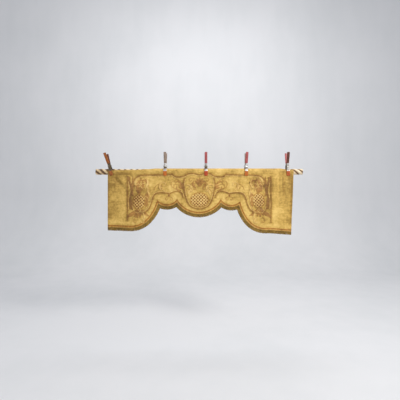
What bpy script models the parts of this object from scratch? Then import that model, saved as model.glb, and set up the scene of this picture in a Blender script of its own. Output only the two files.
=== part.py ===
"""A shaped pelmet of stiffened gold silk, gripped over a rope-twist pole by five sprung clamps.

Run it with: blender --background --python part.py

Metres, +Z up, the front faces -Y. The origin is on the pole's axis at the middle of its length, which is
also the middle of the pelmet's swag. Places on the cloth are given as (x, z) seen from the front.
"""

import math

import bmesh
import bpy
from mathutils import Matrix, Vector
from mathutils.bvhtree import BVHTree
from mathutils.geometry import interpolate_bezier, intersect_line_line_2d

# The pole
POLE_HALF_LENGTH = 0.900
POLE_RADIUS = 0.026
POLE_STRANDS = 3
POLE_LAY = 0.162
POLE_GROOVE = 0.0062
POLE_RINGS_PER_LAY = 10

# The cloth
CLOTH_THICKNESS = 0.003
SEAT_GAP = 0.0008
CLOTH_RADIUS = POLE_RADIUS + SEAT_GAP + CLOTH_THICKNESS / 2
LEFT_EDGE = -0.791
RIGHT_EDGE = 0.817
RIGHT_EDGE_LEAN = 0.040
RIGHT_LEAN_START = 0.600

# The edge of the plain silk above the braid, as (x, z)
LEFT_CORNER = Vector((LEFT_EDGE, -0.461))
LEFT_TAIL_TURN = Vector((-0.600, -0.467))
LEFT_TAIL_HANDLES = (Vector((-0.485, -0.474)), Vector((-0.405, -0.385)))
LEFT_CUSP_OUTER = Vector((-0.363, -0.244))
LEFT_CUSP_INNER = Vector((-0.191, -0.238))
RIGHT_CUSP_INNER = Vector((0.187, -0.238))
RIGHT_CUSP_OUTER = Vector((0.355, -0.257))
RIGHT_TAIL_HANDLES = (Vector((0.396, -0.418)), Vector((0.475, -0.498)))
RIGHT_TAIL_TURN = Vector((0.600, -0.485))
RIGHT_CORNER = Vector((RIGHT_EDGE, -0.500))
SCALLOP_SAG = 0.041
SWAG_SAG = 0.110

# The hem's trimmings, measured across, outwards from the edge of the plain silk
GALLOON_WIDTH = 0.024
GALLOON_THICKNESS = 0.0022
HEADER_WIDTH = 0.004
LOCK_LENGTH = 0.018
LOCK_PITCH = 0.0105
LOCK_TIP_SHARE = 0.55
FRINGE_THICKNESS = 0.0024
TRIM_GAP = 0.0006
MITRE_GAP = 0.0006

# The sewn-down ornament
STRAP_WIDTH = 0.012
STRAP_THICKNESS = 0.002
STRAP_CROWN = 0.0004
STRAP_STEP = 0.019
BORDER_STEP = 0.020
BORDER_X = 0.620
BORDER_TOP = -0.046
BORDER_WIDTH = 0.010
LEFT_BORDER_BOTTOM = -0.420
RIGHT_BORDER_BOTTOM = -0.445
RIM_WIDTH = 0.010
RIM_THICKNESS = 0.0030
PATCH_THICKNESS = 0.0018
OVAL_SIDES = 26
FUSED_LIFT = 0.0003
LEAF_THICKNESS = 0.0014
LEAF_ROOT = 0.004
LOBE_SAMPLES = 5

# Sampling
HEM_SAMPLES = 48
CLOTH_COLUMN = 0.027
HEADING_ROWS = 5
HANGING_ROWS = 8
GALLOON_STEP = 0.024

# How far the heading reaches round the pole, up from its front: place along the pole, degrees
HEADING_REACH = (
    (-0.791, 25.0),
    (-0.560, 30.0),
    (-0.450, 46.0),
    (-0.345, 84.0),
    (-0.280, 96.0),
    (0.600, 100.0),
    (0.690, 84.0),
    (0.750, 42.0),
    (0.817, 36.0),
)

# Soft folds of the hanging cloth, a row for each: where its crest starts at the pole, how far it leans to
# the right for each metre of drop, its half width, its rise towards the front, and the four drops where it
# starts, stands fully, begins to fade and has died away
SOFT_FOLDS = (
    (-0.785, 0.85, 0.048, -0.0055, 0.01, 0.08, 0.11, 0.24),
    (-0.715, 0.60, 0.055, 0.0045, 0.05, 0.12, 0.14, 0.26),
    (-0.540, 0.05, 0.160, 0.0110, 0.03, 0.34, 0.80, 0.90),
    (-0.300, 0.10, 0.110, -0.0060, 0.05, 0.26, 0.80, 0.90),
    (0.010, 0.00, 0.150, 0.0060, 0.03, 0.28, 0.80, 0.90),
    (0.380, -0.20, 0.080, -0.0045, 0.05, 0.15, 0.18, 0.34),
    (0.240, 0.10, 0.110, -0.0050, 0.02, 0.26, 0.80, 0.90),
    (0.550, 0.08, 0.160, 0.0100, 0.03, 0.34, 0.80, 0.90),
    (0.712, 0.02, 0.045, -0.0040, 0.01, 0.10, 0.16, 0.36),
    (0.780, 0.02, 0.045, 0.0040, 0.07, 0.16, 0.20, 0.42),
)

# The strapwork: points on each braid's middle line, right half, as (x, z)
UPPER_STRAP_HALF = (
    (0.000, -0.028),
    (0.045, -0.018),
    (0.095, -0.020),
    (0.135, -0.040),
    (0.178, -0.047),
    (0.212, -0.040),
    (0.232, -0.022),
    (0.258, -0.027),
    (0.330, -0.029),
    (0.430, -0.030),
    (0.505, -0.034),
    (0.550, -0.056),
    (0.570, -0.096),
    (0.558, -0.126),
)
LOWER_STRAP_HALF = (
    (0.139, -0.222),
    (0.154, -0.186),
    (0.188, -0.171),
    (0.224, -0.178),
    (0.258, -0.190),
    (0.302, -0.185),
    (0.346, -0.184),
    (0.382, -0.198),
    (0.402, -0.234),
    (0.414, -0.280),
    (0.436, -0.326),
    (0.470, -0.356),
)
CARTOUCHE_HALF = (
    (0.128, -0.062),
    (0.136, -0.100),
    (0.132, -0.150),
    (0.122, -0.205),
    (0.106, -0.255),
    (0.074, -0.302),
    (0.000, -0.324),
)
SIDE_BAND_HALF = (
    (0.602, -0.052),
    (0.600, -0.100),
    (0.588, -0.150),
    (0.590, -0.200),
    (0.601, -0.255),
    (0.596, -0.318),
)

# The medallions: centre (x, z), half width, half height, lean in degrees
MEDALLIONS = {
    "left": ((-0.520, -0.262), 0.052, 0.064, -5.0),
    "centre": ((0.002, -0.246), 0.079, 0.062, 0.0),
    "right": ((0.512, -0.250), 0.052, 0.062, 5.0),
}

# The leaves cut in one with another piece: that piece, root (x, z), length, half spread in degrees, direction
# in degrees round from straight up, lobes
LEAVES = (
    ("medallion_left", (-0.516, -0.196), 0.050, 42.0, 10.0, 3),
    ("medallion_left", (-0.528, -0.326), 0.080, 56.0, 176.0, 5),
    ("medallion_right", (0.508, -0.186), 0.048, 48.0, -10.0, 3),
    ("medallion_right", (0.520, -0.312), 0.084, 54.0, 186.0, 5),
    ("cartouche_strap", (-0.134, -0.150), 0.056, 44.0, 40.0, 3),
    ("cartouche_strap", (0.134, -0.150), 0.052, 44.0, -44.0, 3),
    ("lower_strap_left", (-0.262, -0.190), 0.030, 26.0, 180.0, 3),
    ("lower_strap_right", (0.262, -0.190), 0.030, 26.0, 180.0, 3),
)
PALMETTE_ROOT = (0.004, -0.126)
PALMETTE_LENGTH = 0.078
PALMETTE_SPREAD = 52.0
PALMETTE_LOBES = 5

# The clamps: place along the pole, lean in degrees (the top towards -X for a negative lean), and how far
# the upper strap under its tip holds the front jaw off the cloth
STRAP_STAND = TRIM_GAP + STRAP_THICKNESS + STRAP_CROWN
CLAMPS = (
    (-0.768, -17.0, 0.0),
    (-0.296, 0.0, STRAP_STAND),
    (0.059, 0.0, STRAP_STAND),
    (0.408, 2.0, STRAP_STAND),
    (0.770, 0.0, 0.0),
)
CLAMP_TIP_Z = -0.036
CLAMP_TIP_MOUTH_Z = 0.004
CLAMP_PIVOT_Z = 0.049
CLAMP_GRIP_MOUTH_Z = 0.072
CLAMP_GRIP_TOP = Vector((-0.040, 0.166))
ARM_THICKNESS = 0.0022
ARM_TIP_WIDTH = 0.025
ARM_PIVOT_WIDTH = 0.026
ARM_GRIP_WIDTH = 0.018
VINYL_WALL = 0.0022
VINYL_GAP = 0.0003
EAR_THICKNESS = 0.0015
EAR_HALF_HEIGHT = 0.0075
EAR_REACH = 0.0060
PIN_RADIUS = 0.0026
PIN_HOLE_RADIUS = 0.0030
PIN_HEAD_RADIUS = 0.0046
PIN_HEAD_THICKNESS = 0.0018
SPRING_RADIUS = 0.0090
SPRING_HALF_LENGTH = 0.0098
SPRING_COILS = 2
SPRING_WIRE_DIP = 0.0012
CAP_SIDES = 8


def clear_scene():
    """Removes whatever the scene holds."""
    for thing in list(bpy.data.objects):
        bpy.data.objects.remove(thing, do_unlink=True)


def material(name, colour, roughness, metallic=0.0):
    """A Principled material, made once for each name."""
    made = bpy.data.materials.get(name)
    if made is None:
        made = bpy.data.materials.new(name)
        made.use_nodes = True
        shader = made.node_tree.nodes["Principled BSDF"]
        shader.inputs["Base Color"].default_value = (*colour, 1.0)
        shader.inputs["Roughness"].default_value = roughness
        shader.inputs["Metallic"].default_value = metallic
    return made


def gold_silk():
    return material("gold_silk", (0.52, 0.36, 0.13), 0.55)


def braid_gold():
    return material("braid_gold", (0.36, 0.20, 0.05), 0.60)


def fringe_silk():
    return material("fringe_silk", (0.24, 0.15, 0.04), 0.75)


def applied_silk():
    return material("applied_silk", (0.33, 0.18, 0.06), 0.60)


def pole_paint():
    return material("pole_paint", (0.72, 0.60, 0.42), 0.45)


def clamp_steel():
    return material("clamp_steel", (0.55, 0.56, 0.57), 0.35, 1.0)


def spring_steel():
    return material("spring_steel", (0.06, 0.06, 0.06), 0.45, 1.0)


def clamp_vinyl():
    return material("clamp_vinyl", (0.62, 0.10, 0.02), 0.40)


def add_object(name, build_mesh, finish):
    """A new object whose mesh is that bmesh, smooth but for its sharp corners."""
    bmesh.ops.recalc_face_normals(build_mesh, faces=build_mesh.faces)
    mesh = bpy.data.meshes.new(name)
    build_mesh.to_mesh(mesh)
    build_mesh.free()
    mesh.shade_smooth()
    mesh.set_sharp_from_angle(angle=math.radians(40))
    mesh.materials.append(finish)
    made = bpy.data.objects.new(name, mesh)
    bpy.context.scene.collection.objects.link(made)
    return made


def loft(rings, build_mesh=None):
    """A closed bmesh through rings of equal count, with both ends filled."""
    build_mesh = build_mesh or bmesh.new()
    loops = [[build_mesh.verts.new(point) for point in ring] for ring in rings]
    count = len(rings[0])
    for near, far in zip(loops, loops[1:]):
        for k in range(count):
            n = (k + 1) % count
            build_mesh.faces.new((near[k], near[n], far[n], far[k]))
    build_mesh.faces.new(loops[0])
    build_mesh.faces.new(loops[-1])
    return build_mesh


def smooth_step(value):
    """0 below 0, 1 above 1, and a soft S between."""
    held = min(max(value, 0.0), 1.0)
    return held * held * (3.0 - 2.0 * held)


def between_rows(rows, place):
    """Reads a table of (place, value) rows with soft steps from row to row."""
    if place <= rows[0][0]:
        return rows[0][1]
    for (near, low), (far, high) in zip(rows, rows[1:]):
        if place <= far:
            return low + (high - low) * smooth_step((place - near) / (far - near))
    return rows[-1][1]


def billow(x, drop):
    """How far the hanging cloth stands forward of the pole's front at that drop below the pole's axis."""
    forward = 0.0
    for start, lean, half_width, rise, first, full, fading, gone in SOFT_FOLDS:
        across = (x - start - lean * drop) / half_width
        come = smooth_step((drop - first) / (full - first))
        go = 1.0 - smooth_step((drop - fading) / (gone - fading))
        forward += rise * math.exp(-across * across) * come * go
    return forward


def cloth_point(x, z, lift):
    """A point lift in front of the cloth's middle layer, at (x, z) seen from the front, at or below the pole's axis."""
    drop = -z
    lean = RIGHT_EDGE_LEAN * drop * smooth_step((x - RIGHT_LEAN_START) / (RIGHT_EDGE - RIGHT_LEAN_START))
    return Vector((x - lean, -(CLOTH_RADIUS + lift + billow(x, drop)), z))


def lay_on(cloth):
    """A function that lays a flat (x, z) point on that cloth's front, lifted off it."""
    tree = BVHTree.FromPolygons(
        [corner.co for corner in cloth.data.vertices], [face.vertices for face in cloth.data.polygons]
    )

    def lay(flat, lift):
        ahead = cloth_point(flat.x, flat.y, 0.020)
        met = tree.ray_cast(ahead, Vector((0.0, 1.0, 0.0)))[0] or tree.find_nearest(ahead)[0]
        return Vector((ahead.x, met.y - lift, ahead.z))

    return lay


def heading_point(x, angle, lift):
    """A point on the heading, at that angle up and over the pole from its front."""
    reach = CLOTH_RADIUS + lift
    return Vector((x, -reach * math.cos(angle), reach * math.sin(angle)))


def arc_of(start, end, sag):
    """Samples the round arc from start to end that hangs sag below its chord."""
    half = (end - start).length / 2
    radius = (half * half + sag * sag) / (2 * sag)
    along = (end - start).normalized()
    up = Vector((-along.y, along.x))
    centre = (start + end) / 2 + up * (radius - sag)
    half_angle = math.asin(half / radius)
    steps = [half_angle * (2 * k / HEM_SAMPLES - 1) for k in range(HEM_SAMPLES + 1)]
    return [centre + radius * (along * math.sin(a) - up * math.cos(a)) for a in steps]


def silk_edges():
    """The edge of the plain silk as five lines of (x, z), from the left tail to the right one."""
    left_round = interpolate_bezier(LEFT_TAIL_TURN, *LEFT_TAIL_HANDLES, LEFT_CUSP_OUTER, HEM_SAMPLES)
    right_round = interpolate_bezier(RIGHT_CUSP_OUTER, *RIGHT_TAIL_HANDLES, RIGHT_TAIL_TURN, HEM_SAMPLES)
    return [
        [LEFT_CORNER] + [Vector(p[:2]) for p in left_round],
        arc_of(LEFT_CUSP_OUTER, LEFT_CUSP_INNER, SCALLOP_SAG),
        arc_of(LEFT_CUSP_INNER, RIGHT_CUSP_INNER, SWAG_SAG),
        arc_of(RIGHT_CUSP_INNER, RIGHT_CUSP_OUTER, SCALLOP_SAG),
        [Vector(p[:2]) for p in right_round] + [RIGHT_CORNER],
    ]


def moved_out(line, distance):
    """The line moved outwards, to the right of its direction."""
    moved = []
    for k, point in enumerate(line):
        along = (line[min(k + 1, len(line) - 1)] - line[max(k - 1, 0)]).normalized()
        moved.append(point + Vector((along.y, -along.x)) * distance)
    return moved


def cut_at_crossing(near, far):
    """Cuts two lines that cross at a cusp so that both end at their crossing."""
    for i in range(len(near) - 1, 0, -1):
        for j in range(len(far) - 1):
            met = intersect_line_line_2d(near[i - 1], near[i], far[j], far[j + 1])
            if met is not None:
                met = Vector(met[:2])
                return near[:i] + [met], [met] + far[j + 1 :]
    return near, far


def mitred_out(lines, distance):
    """The hem's five lines moved outwards by that distance, meeting at their mitres."""
    moved = [moved_out(line, distance) for line in lines]
    moved[0][0].x = LEFT_EDGE
    moved[-1][-1].x = RIGHT_EDGE
    if distance > 0:
        for k in range(len(moved) - 1):
            moved[k], moved[k + 1] = cut_at_crossing(moved[k], moved[k + 1])
    return moved


def hem_edges(distance):
    """The hem's five lines at that distance outside the plain silk's edge."""
    return mitred_out(silk_edges(), distance)


def length_of(line):
    return sum((b - a).length for a, b in zip(line, line[1:]))


def along_line(line, shares, trim=0.0):
    """Points at those shares of the line's length, after trim is taken off both of its ends."""
    whole = length_of(line)
    wanted = [trim + share * (whole - 2 * trim) for share in shares]
    found, walked, k = [], 0.0, 0
    for goal in wanted:
        while k < len(line) - 2 and walked + (line[k + 1] - line[k]).length < goal:
            walked += (line[k + 1] - line[k]).length
            k += 1
        step = (line[k + 1] - line[k]).length
        found.append(line[k].lerp(line[k + 1], min(1.0, (goal - walked) / step)))
    return found


def even_shares(count):
    return [k / count for k in range(count + 1)]


def fuse(host, tool, operation):
    """Joins the tool's body to the host, or cuts it away, and keeps the tool out of the finished pieces."""
    tool.hide_render = True
    step = host.modifiers.new(tool.name, "BOOLEAN")
    step.operation = operation
    step.solver = "EXACT"
    step.object = tool


def ribbon_between(name, lay, inner, outer, thickness, finish, raised):
    """A sewn band between two lines of equal count on the cloth's front, its middle raised a little."""
    rings = []
    for near, far in zip(inner, outer):
        middle = (near + far) / 2
        rings.append(
            [
                lay(near, TRIM_GAP),
                lay(far, TRIM_GAP),
                lay(far, TRIM_GAP + thickness),
                lay(middle, TRIM_GAP + thickness + raised),
                lay(near, TRIM_GAP + thickness),
            ]
        )
    return add_object(name, loft(rings), finish)


def make_pole():
    """The rope-twist pole: three carved strands that wind round it."""
    corners = [(0.0, -POLE_GROOVE), (1 / 3, 0.0), (2 / 3, 0.0)]
    rings = []
    count = round(2 * POLE_HALF_LENGTH / POLE_LAY * POLE_RINGS_PER_LAY)
    for k in range(count + 1):
        x = -POLE_HALF_LENGTH + 2 * POLE_HALF_LENGTH * k / count
        twist = 2 * math.pi * x / POLE_LAY
        ring = []
        for strand in range(POLE_STRANDS):
            for share, dip in corners:
                angle = twist + 2 * math.pi * (strand + share) / POLE_STRANDS
                radius = POLE_RADIUS + dip
                ring.append(Vector((x, radius * math.cos(angle), radius * math.sin(angle))))
        rings.append(ring)
    return add_object("pole", loft(rings), pole_paint())


def cloth_edges():
    """The cloth's lower edge as five lines of points about CLOTH_COLUMN apart."""
    lines = hem_edges(GALLOON_WIDTH)
    return [along_line(line, even_shares(round(length_of(line) / CLOTH_COLUMN))) for line in lines]


def make_ground_cloth():
    """The cloth in one piece: its heading round the pole, and its hanging part with soft folds."""
    half = CLOTH_THICKNESS / 2
    edges = cloth_edges()
    feet = edges[0] + [foot for edge in edges[1:] for foot in edge[1:]]
    columns = []
    for foot in feet:
        reach = math.radians(between_rows(HEADING_REACH, foot.x))
        column = []
        for lift in (half, -half):
            over = [heading_point(foot.x, reach * (1 - k / HEADING_ROWS), lift) for k in range(HEADING_ROWS)]
            down = [cloth_point(foot.x, foot.y * k / HANGING_ROWS, lift) for k in range(HANGING_ROWS + 1)]
            column.append(over + down)
        columns.append(column[0] + column[1][::-1])
    build_mesh = loft(columns)
    bmesh.ops.triangulate(build_mesh, faces=build_mesh.faces)
    return add_object("ground_cloth", build_mesh, gold_silk())


def make_galloons(lay):
    """The braid on the hem in five lengths, mitred at the cusps."""
    inner_edges = hem_edges(0.0)
    outer_edges = hem_edges(GALLOON_WIDTH)
    for place, inner, outer in zip(HEM_PLACES, inner_edges, outer_edges):
        shares = even_shares(round(length_of(outer) / GALLOON_STEP))
        ribbon_between(
            f"galloon_{place}",
            lay,
            along_line(inner, shares, MITRE_GAP),
            along_line(outer, shares, MITRE_GAP),
            GALLOON_THICKNESS,
            braid_gold(),
            raised=0.0006,
        )


def make_fringes():
    """The fringe in five lengths: a narrow header along the cloth's edge, and locks that stand apart below it."""
    tops = mitred_out(cloth_edges(), TRIM_GAP)
    header = GALLOON_WIDTH + TRIM_GAP + HEADER_WIDTH
    edges = zip(HEM_PLACES, tops, hem_edges(header), hem_edges(header + LOCK_LENGTH))
    for place, top_edge, root_edge, tip_edge in edges:
        count = round(length_of(root_edge) / LOCK_PITCH)
        top = along_line(top_edge, even_shares(count), MITRE_GAP)
        root = along_line(root_edge, even_shares(count), MITRE_GAP)
        side = (1 - LOCK_TIP_SHARE) / 2
        tips = along_line(
            tip_edge,
            [(k + share) / count for k in range(count) for share in (side, 1 - side)],
            MITRE_GAP,
        )
        add_object(f"fringe_{place}", comb(top, root, tips), fringe_silk())


def comb(top, root, tips):
    """A closed comb: a strip between top and root, and a tapering lock below each step of root."""
    build_mesh = bmesh.new()

    def pair(point):
        return [
            build_mesh.verts.new(cloth_point(point.x, point.y, side * FRINGE_THICKNESS / 2))
            for side in (1, -1)
        ]

    top_pairs = [pair(p) for p in top]
    root_pairs = [pair(p) for p in root]
    tip_pairs = [pair(p) for p in tips]
    for k in range(len(root) - 1):
        upper = (top_pairs[k], top_pairs[k + 1])
        lower = (root_pairs[k], root_pairs[k + 1])
        ends = (tip_pairs[2 * k], tip_pairs[2 * k + 1])
        for side in (0, 1):
            build_mesh.faces.new((upper[0][side], upper[1][side], lower[1][side], lower[0][side]))
            build_mesh.faces.new((lower[0][side], lower[1][side], ends[1][side], ends[0][side]))
        build_mesh.faces.new((*upper[0], *upper[1][::-1]))
        build_mesh.faces.new((*ends[0], *ends[1][::-1]))
        for near, far in zip(lower, ends):
            build_mesh.faces.new((*near, *far[::-1]))
    for first, last in ((top_pairs[0], root_pairs[0]), (top_pairs[-1], root_pairs[-1])):
        build_mesh.faces.new((*first, *last[::-1]))
    return build_mesh


def curve_through(points, step):
    """A smooth line through the points, sampled about every step."""
    knots = [Vector(p) for p in points]
    padded = [2 * knots[0] - knots[1]] + knots + [2 * knots[-1] - knots[-2]]
    dense = [knots[0]]
    for a, b, c, d in zip(padded, padded[1:], padded[2:], padded[3:]):
        dense += [Vector(p[:2]) for p in interpolate_bezier(b, b + (c - a) / 6, c - (d - b) / 6, c, 9)[1:]]
    return along_line(dense, even_shares(max(2, round(length_of(dense) / step))))


def mirrored(points):
    return tuple((-x, z) for x, z in points)


def make_strap(name, lay, points, width, step=STRAP_STEP):
    """A braid sewn down along a smooth line."""
    line = curve_through(points, step)
    inner = moved_out(line, -width / 2)
    outer = moved_out(line, width / 2)
    ribbon_between(name, lay, inner, outer, STRAP_THICKNESS, applied_silk(), raised=STRAP_CROWN)


def make_straps(lay):
    """The strapwork: upper and lower straps, the cartouche round the centre, side bands and upright borders."""
    make_strap("upper_strap", lay, mirrored(UPPER_STRAP_HALF[:0:-1]) + UPPER_STRAP_HALF, STRAP_WIDTH)
    make_strap("lower_strap_left", lay, mirrored(LOWER_STRAP_HALF), STRAP_WIDTH)
    make_strap("lower_strap_right", lay, LOWER_STRAP_HALF, STRAP_WIDTH)
    make_strap("cartouche_strap", lay, mirrored(CARTOUCHE_HALF) + CARTOUCHE_HALF[-2::-1], STRAP_WIDTH)
    make_strap("side_band_left", lay, mirrored(SIDE_BAND_HALF), STRAP_WIDTH)
    make_strap("side_band_right", lay, SIDE_BAND_HALF, STRAP_WIDTH)
    for name, x, bottom in (
        ("border_braid_left", -BORDER_X, LEFT_BORDER_BOTTOM),
        ("border_braid_right", BORDER_X, RIGHT_BORDER_BOTTOM),
    ):
        make_strap(name, lay, ((x, BORDER_TOP), (x, bottom)), BORDER_WIDTH, BORDER_STEP)


def turned(point, degrees, centre):
    """A flat point turned about the origin and moved to centre."""
    angle = math.radians(degrees)
    return Vector(
        (
            centre[0] + point[0] * math.cos(angle) - point[1] * math.sin(angle),
            centre[1] + point[0] * math.sin(angle) + point[1] * math.cos(angle),
        )
    )


def make_medallion(place, lay, centre, half_width, half_height, lean):
    """An oval patch of padded silk with a raised cord rim."""
    inner = -min(half_width, half_height) / 2
    profile = (
        (inner, 0.0),
        (RIM_WIDTH / 2, 0.0),
        (RIM_WIDTH / 2, RIM_THICKNESS * 0.6),
        (0.0, RIM_THICKNESS),
        (-RIM_WIDTH / 2, PATCH_THICKNESS),
        (inner, PATCH_THICKNESS),
    )
    build_mesh = bmesh.new()
    rows = []
    for grow, height in profile:
        points = [
            ((half_width + grow) * math.cos(a), (half_height + grow) * math.sin(a))
            for a in (2 * math.pi * k / OVAL_SIDES for k in range(OVAL_SIDES))
        ]
        rows.append([build_mesh.verts.new(lay(turned(p, lean, centre), TRIM_GAP + height)) for p in points])
    for near, far in zip(rows, rows[1:]):
        for k in range(OVAL_SIDES):
            n = (k + 1) % OVAL_SIDES
            build_mesh.faces.new((near[k], near[n], far[n], far[k]))
    middle = Vector(centre)
    for rim, height in ((rows[0], 0.0), (rows[-1], PATCH_THICKNESS)):
        hub = build_mesh.verts.new(lay(middle, TRIM_GAP + height))
        for k in range(OVAL_SIDES):
            build_mesh.faces.new((rim[k], rim[(k + 1) % OVAL_SIDES], hub))
    add_object(f"medallion_{place}", build_mesh, applied_silk())


def make_leaf(name, lay, lift, root, length, half_spread, direction, lobes):
    """A fan of leaf lobes from one root, cut from one piece of cloth."""
    outline = []
    samples = lobes * LOBE_SAMPLES
    for k in range(samples + 1):
        share = k / samples
        angle = math.radians(half_spread) * (1 - 2 * share)
        across = abs((share * lobes) % 1.0 - 0.5) * 2
        point = 1.0 - 0.30 * across**1.6
        radius = length * point * (0.50 + 0.50 * math.cos(angle * 1.1))
        outline.append(turned((-radius * math.sin(angle), radius * math.cos(angle)), direction, root))
    for side in (1, -1):
        outline.append(turned((side * length * 0.16, -LEAF_ROOT), direction, root))
    hub = turned((0.0, length * 0.22), direction, root)
    build_mesh = bmesh.new()
    sides = []
    for height in (lift, lift + LEAF_THICKNESS):
        rim = [build_mesh.verts.new(lay(point, height)) for point in outline]
        middle = build_mesh.verts.new(lay(hub, height))
        for k in range(len(rim)):
            build_mesh.faces.new((rim[k], rim[(k + 1) % len(rim)], middle))
        sides.append(rim)
    for k in range(len(outline)):
        n = (k + 1) % len(outline)
        build_mesh.faces.new((sides[0][k], sides[0][n], sides[1][n], sides[1][k]))
    return add_object(name, build_mesh, applied_silk())


def arm_line(stand):
    """An arm's middle line from tip to grip, as (y, z) beside the pole, its tip held stand off the cloth."""
    cover = VINYL_GAP + VINYL_WALL + VINYL_GAP + ARM_THICKNESS / 2
    front = -(CLOTH_RADIUS + CLOTH_THICKNESS / 2 + stand + cover)
    pinch = -(SPRING_RADIUS + VINYL_GAP + ARM_THICKNESS / 2)
    return [
        (Vector((front, CLAMP_TIP_Z + VINYL_WALL + VINYL_GAP)), ARM_TIP_WIDTH),
        (Vector((front, CLAMP_TIP_MOUTH_Z)), ARM_TIP_WIDTH),
        (Vector((front, 0.012)), ARM_TIP_WIDTH),
        (Vector((pinch, CLAMP_PIVOT_Z - 0.006)), ARM_PIVOT_WIDTH),
        (Vector((pinch, CLAMP_PIVOT_Z + 0.006)), ARM_PIVOT_WIDTH),
        (Vector((pinch - 0.004, CLAMP_GRIP_MOUTH_Z)), ARM_GRIP_WIDTH),
        (CLAMP_GRIP_TOP, ARM_GRIP_WIDTH),
    ]


def bar_ring(place, along, half_width, half_thickness, chamfer=0.0):
    """A cross-section of a flat bar at place (y, z): four corners, or eight where it is chamfered."""
    across = Vector((along.y, -along.x))
    w, t, c = half_width, half_thickness, chamfer
    flat = [(-w, -t), (w, -t), (w, t), (-w, t)]
    if chamfer:
        flat = [(-w + c, -t), (w - c, -t), (w, -t + c), (w, t - c), (w - c, t), (-w + c, t), (-w, t - c), (-w, -t + c)]
    return [Vector((x, place.x + across.x * y, place.y + across.y * y)) for x, y in flat]


def direction_at(line, k):
    return (line[min(k + 1, len(line) - 1)][0] - line[max(k - 1, 0)][0]).normalized()


def arm_mesh(line, ear_place):
    """One arm as a bent steel bar, with two ears that hold the pin."""
    rings = [
        bar_ring(place, direction_at(line, k), width / 2, ARM_THICKNESS / 2) for k, (place, width) in enumerate(line)
    ]
    arm = add_object("arm_pattern", loft(rings), clamp_steel())
    ears = bmesh.new()
    start = line[3][0].x - ARM_THICKNESS / 4
    for side in (-1, 1):
        x = side * (ear_place + EAR_THICKNESS / 2)
        middle = Vector((x, (start + EAR_REACH) / 2, CLAMP_PIVOT_Z))
        size = (EAR_THICKNESS, EAR_REACH - start, 2 * EAR_HALF_HEIGHT)
        bmesh.ops.create_cube(ears, size=1.0, matrix=Matrix.Translation(middle) @ Matrix.Diagonal((*size, 1.0)))
    hole = bmesh.new()
    bmesh.ops.create_cone(
        hole,
        cap_ends=True,
        segments=CAP_SIDES,
        radius1=PIN_HOLE_RADIUS,
        radius2=PIN_HOLE_RADIUS,
        depth=2 * ARM_PIVOT_WIDTH,
        matrix=Matrix.Translation((0, 0, CLAMP_PIVOT_Z)) @ Matrix.Rotation(math.pi / 2, 4, "Y"),
    )
    ears_tool = add_object("ears", ears, clamp_steel())
    hole_tool = add_object("pin_hole", hole, clamp_steel())
    fuse(arm, ears_tool, "UNION")
    fuse(arm, hole_tool, "DIFFERENCE")
    bpy.context.view_layer.update()
    shaped = bpy.data.meshes.new_from_object(arm.evaluated_get(bpy.context.evaluated_depsgraph_get()))
    for thing in (arm, ears_tool, hole_tool):
        bpy.data.objects.remove(thing, do_unlink=True)
    return shaped


def sleeve_mesh(line, width, closed_first):
    """A dipped vinyl sleeve with a pocket for the arm, open at one end."""
    if closed_first:
        line = line[::-1]
    outer_half = ARM_THICKNESS / 2 + VINYL_GAP + VINYL_WALL
    inner_half = ARM_THICKNESS / 2 + VINYL_GAP
    half_width = width / 2
    rows = [(place, None) for place in line]
    outer, inner = [], []
    for k, place in enumerate(line):
        along = direction_at(rows, k)
        outer.append(bar_ring(place, along, half_width + VINYL_WALL + VINYL_GAP, outer_half, 0.0016))
        if k < len(line) - 1:
            inner.append(bar_ring(place, along, half_width + VINYL_GAP, inner_half, 0.0004))
    end = line[-1]
    before = direction_at(rows, len(line) - 1)
    pocket = end - before * VINYL_WALL
    inner.append(bar_ring(pocket, before, half_width + VINYL_GAP, inner_half, 0.0004))
    build_mesh = loft(outer[::-1] + inner)
    finished = add_object("sleeve_pattern", build_mesh, clamp_vinyl())
    mesh = finished.data
    bpy.data.objects.remove(finished, do_unlink=True)
    return mesh


def spring_mesh():
    """The pin with its two heads, and the coil spring wound on it, as one turned shape."""
    head_inner = ARM_PIVOT_WIDTH / 2 + 2 * EAR_THICKNESS - 0.0006
    profile = [
        (head_inner + PIN_HEAD_THICKNESS, PIN_HEAD_RADIUS),
        (head_inner, PIN_HEAD_RADIUS),
        (head_inner, PIN_RADIUS),
        (SPRING_HALF_LENGTH, PIN_RADIUS),
    ]
    coils = []
    for k in range(SPRING_COILS * 2 + 1):
        x = SPRING_HALF_LENGTH * (1 - k / SPRING_COILS)
        coils.append((x, SPRING_RADIUS - (SPRING_WIRE_DIP if k % 2 == 0 else 0.0)))
    profile += coils + [(-x, radius) for x, radius in profile[::-1]]
    rings = []
    for x, radius in profile:
        angles = [2 * math.pi * k / CAP_SIDES for k in range(CAP_SIDES)]
        rings.append([Vector((x, radius * math.cos(a), CLAMP_PIVOT_Z + radius * math.sin(a))) for a in angles])
    made = add_object("spring_pattern", loft(rings), spring_steel())
    mesh = made.data
    bpy.data.objects.remove(made, do_unlink=True)
    return mesh


def jaw_meshes(side, stand, ear_place):
    """The arm of that side of a clamp with its vinyl tip and grip."""
    bar = arm_line(stand)
    line = [place for place, _ in bar]
    tip_line = [Vector((line[0].x, CLAMP_TIP_Z)), Vector((line[0].x, CLAMP_TIP_MOUTH_Z))]
    grip_along = (line[-1] - line[-2]).normalized()
    grip_line = [line[-2] + grip_along * 0.003, line[-1] + grip_along * (VINYL_WALL + VINYL_GAP)]
    return {
        f"{side}_arm": arm_mesh(bar, ear_place),
        f"{side}_tip": sleeve_mesh(tip_line, ARM_TIP_WIDTH, True),
        f"{side}_grip": sleeve_mesh(grip_line, ARM_GRIP_WIDTH, False),
    }


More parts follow.
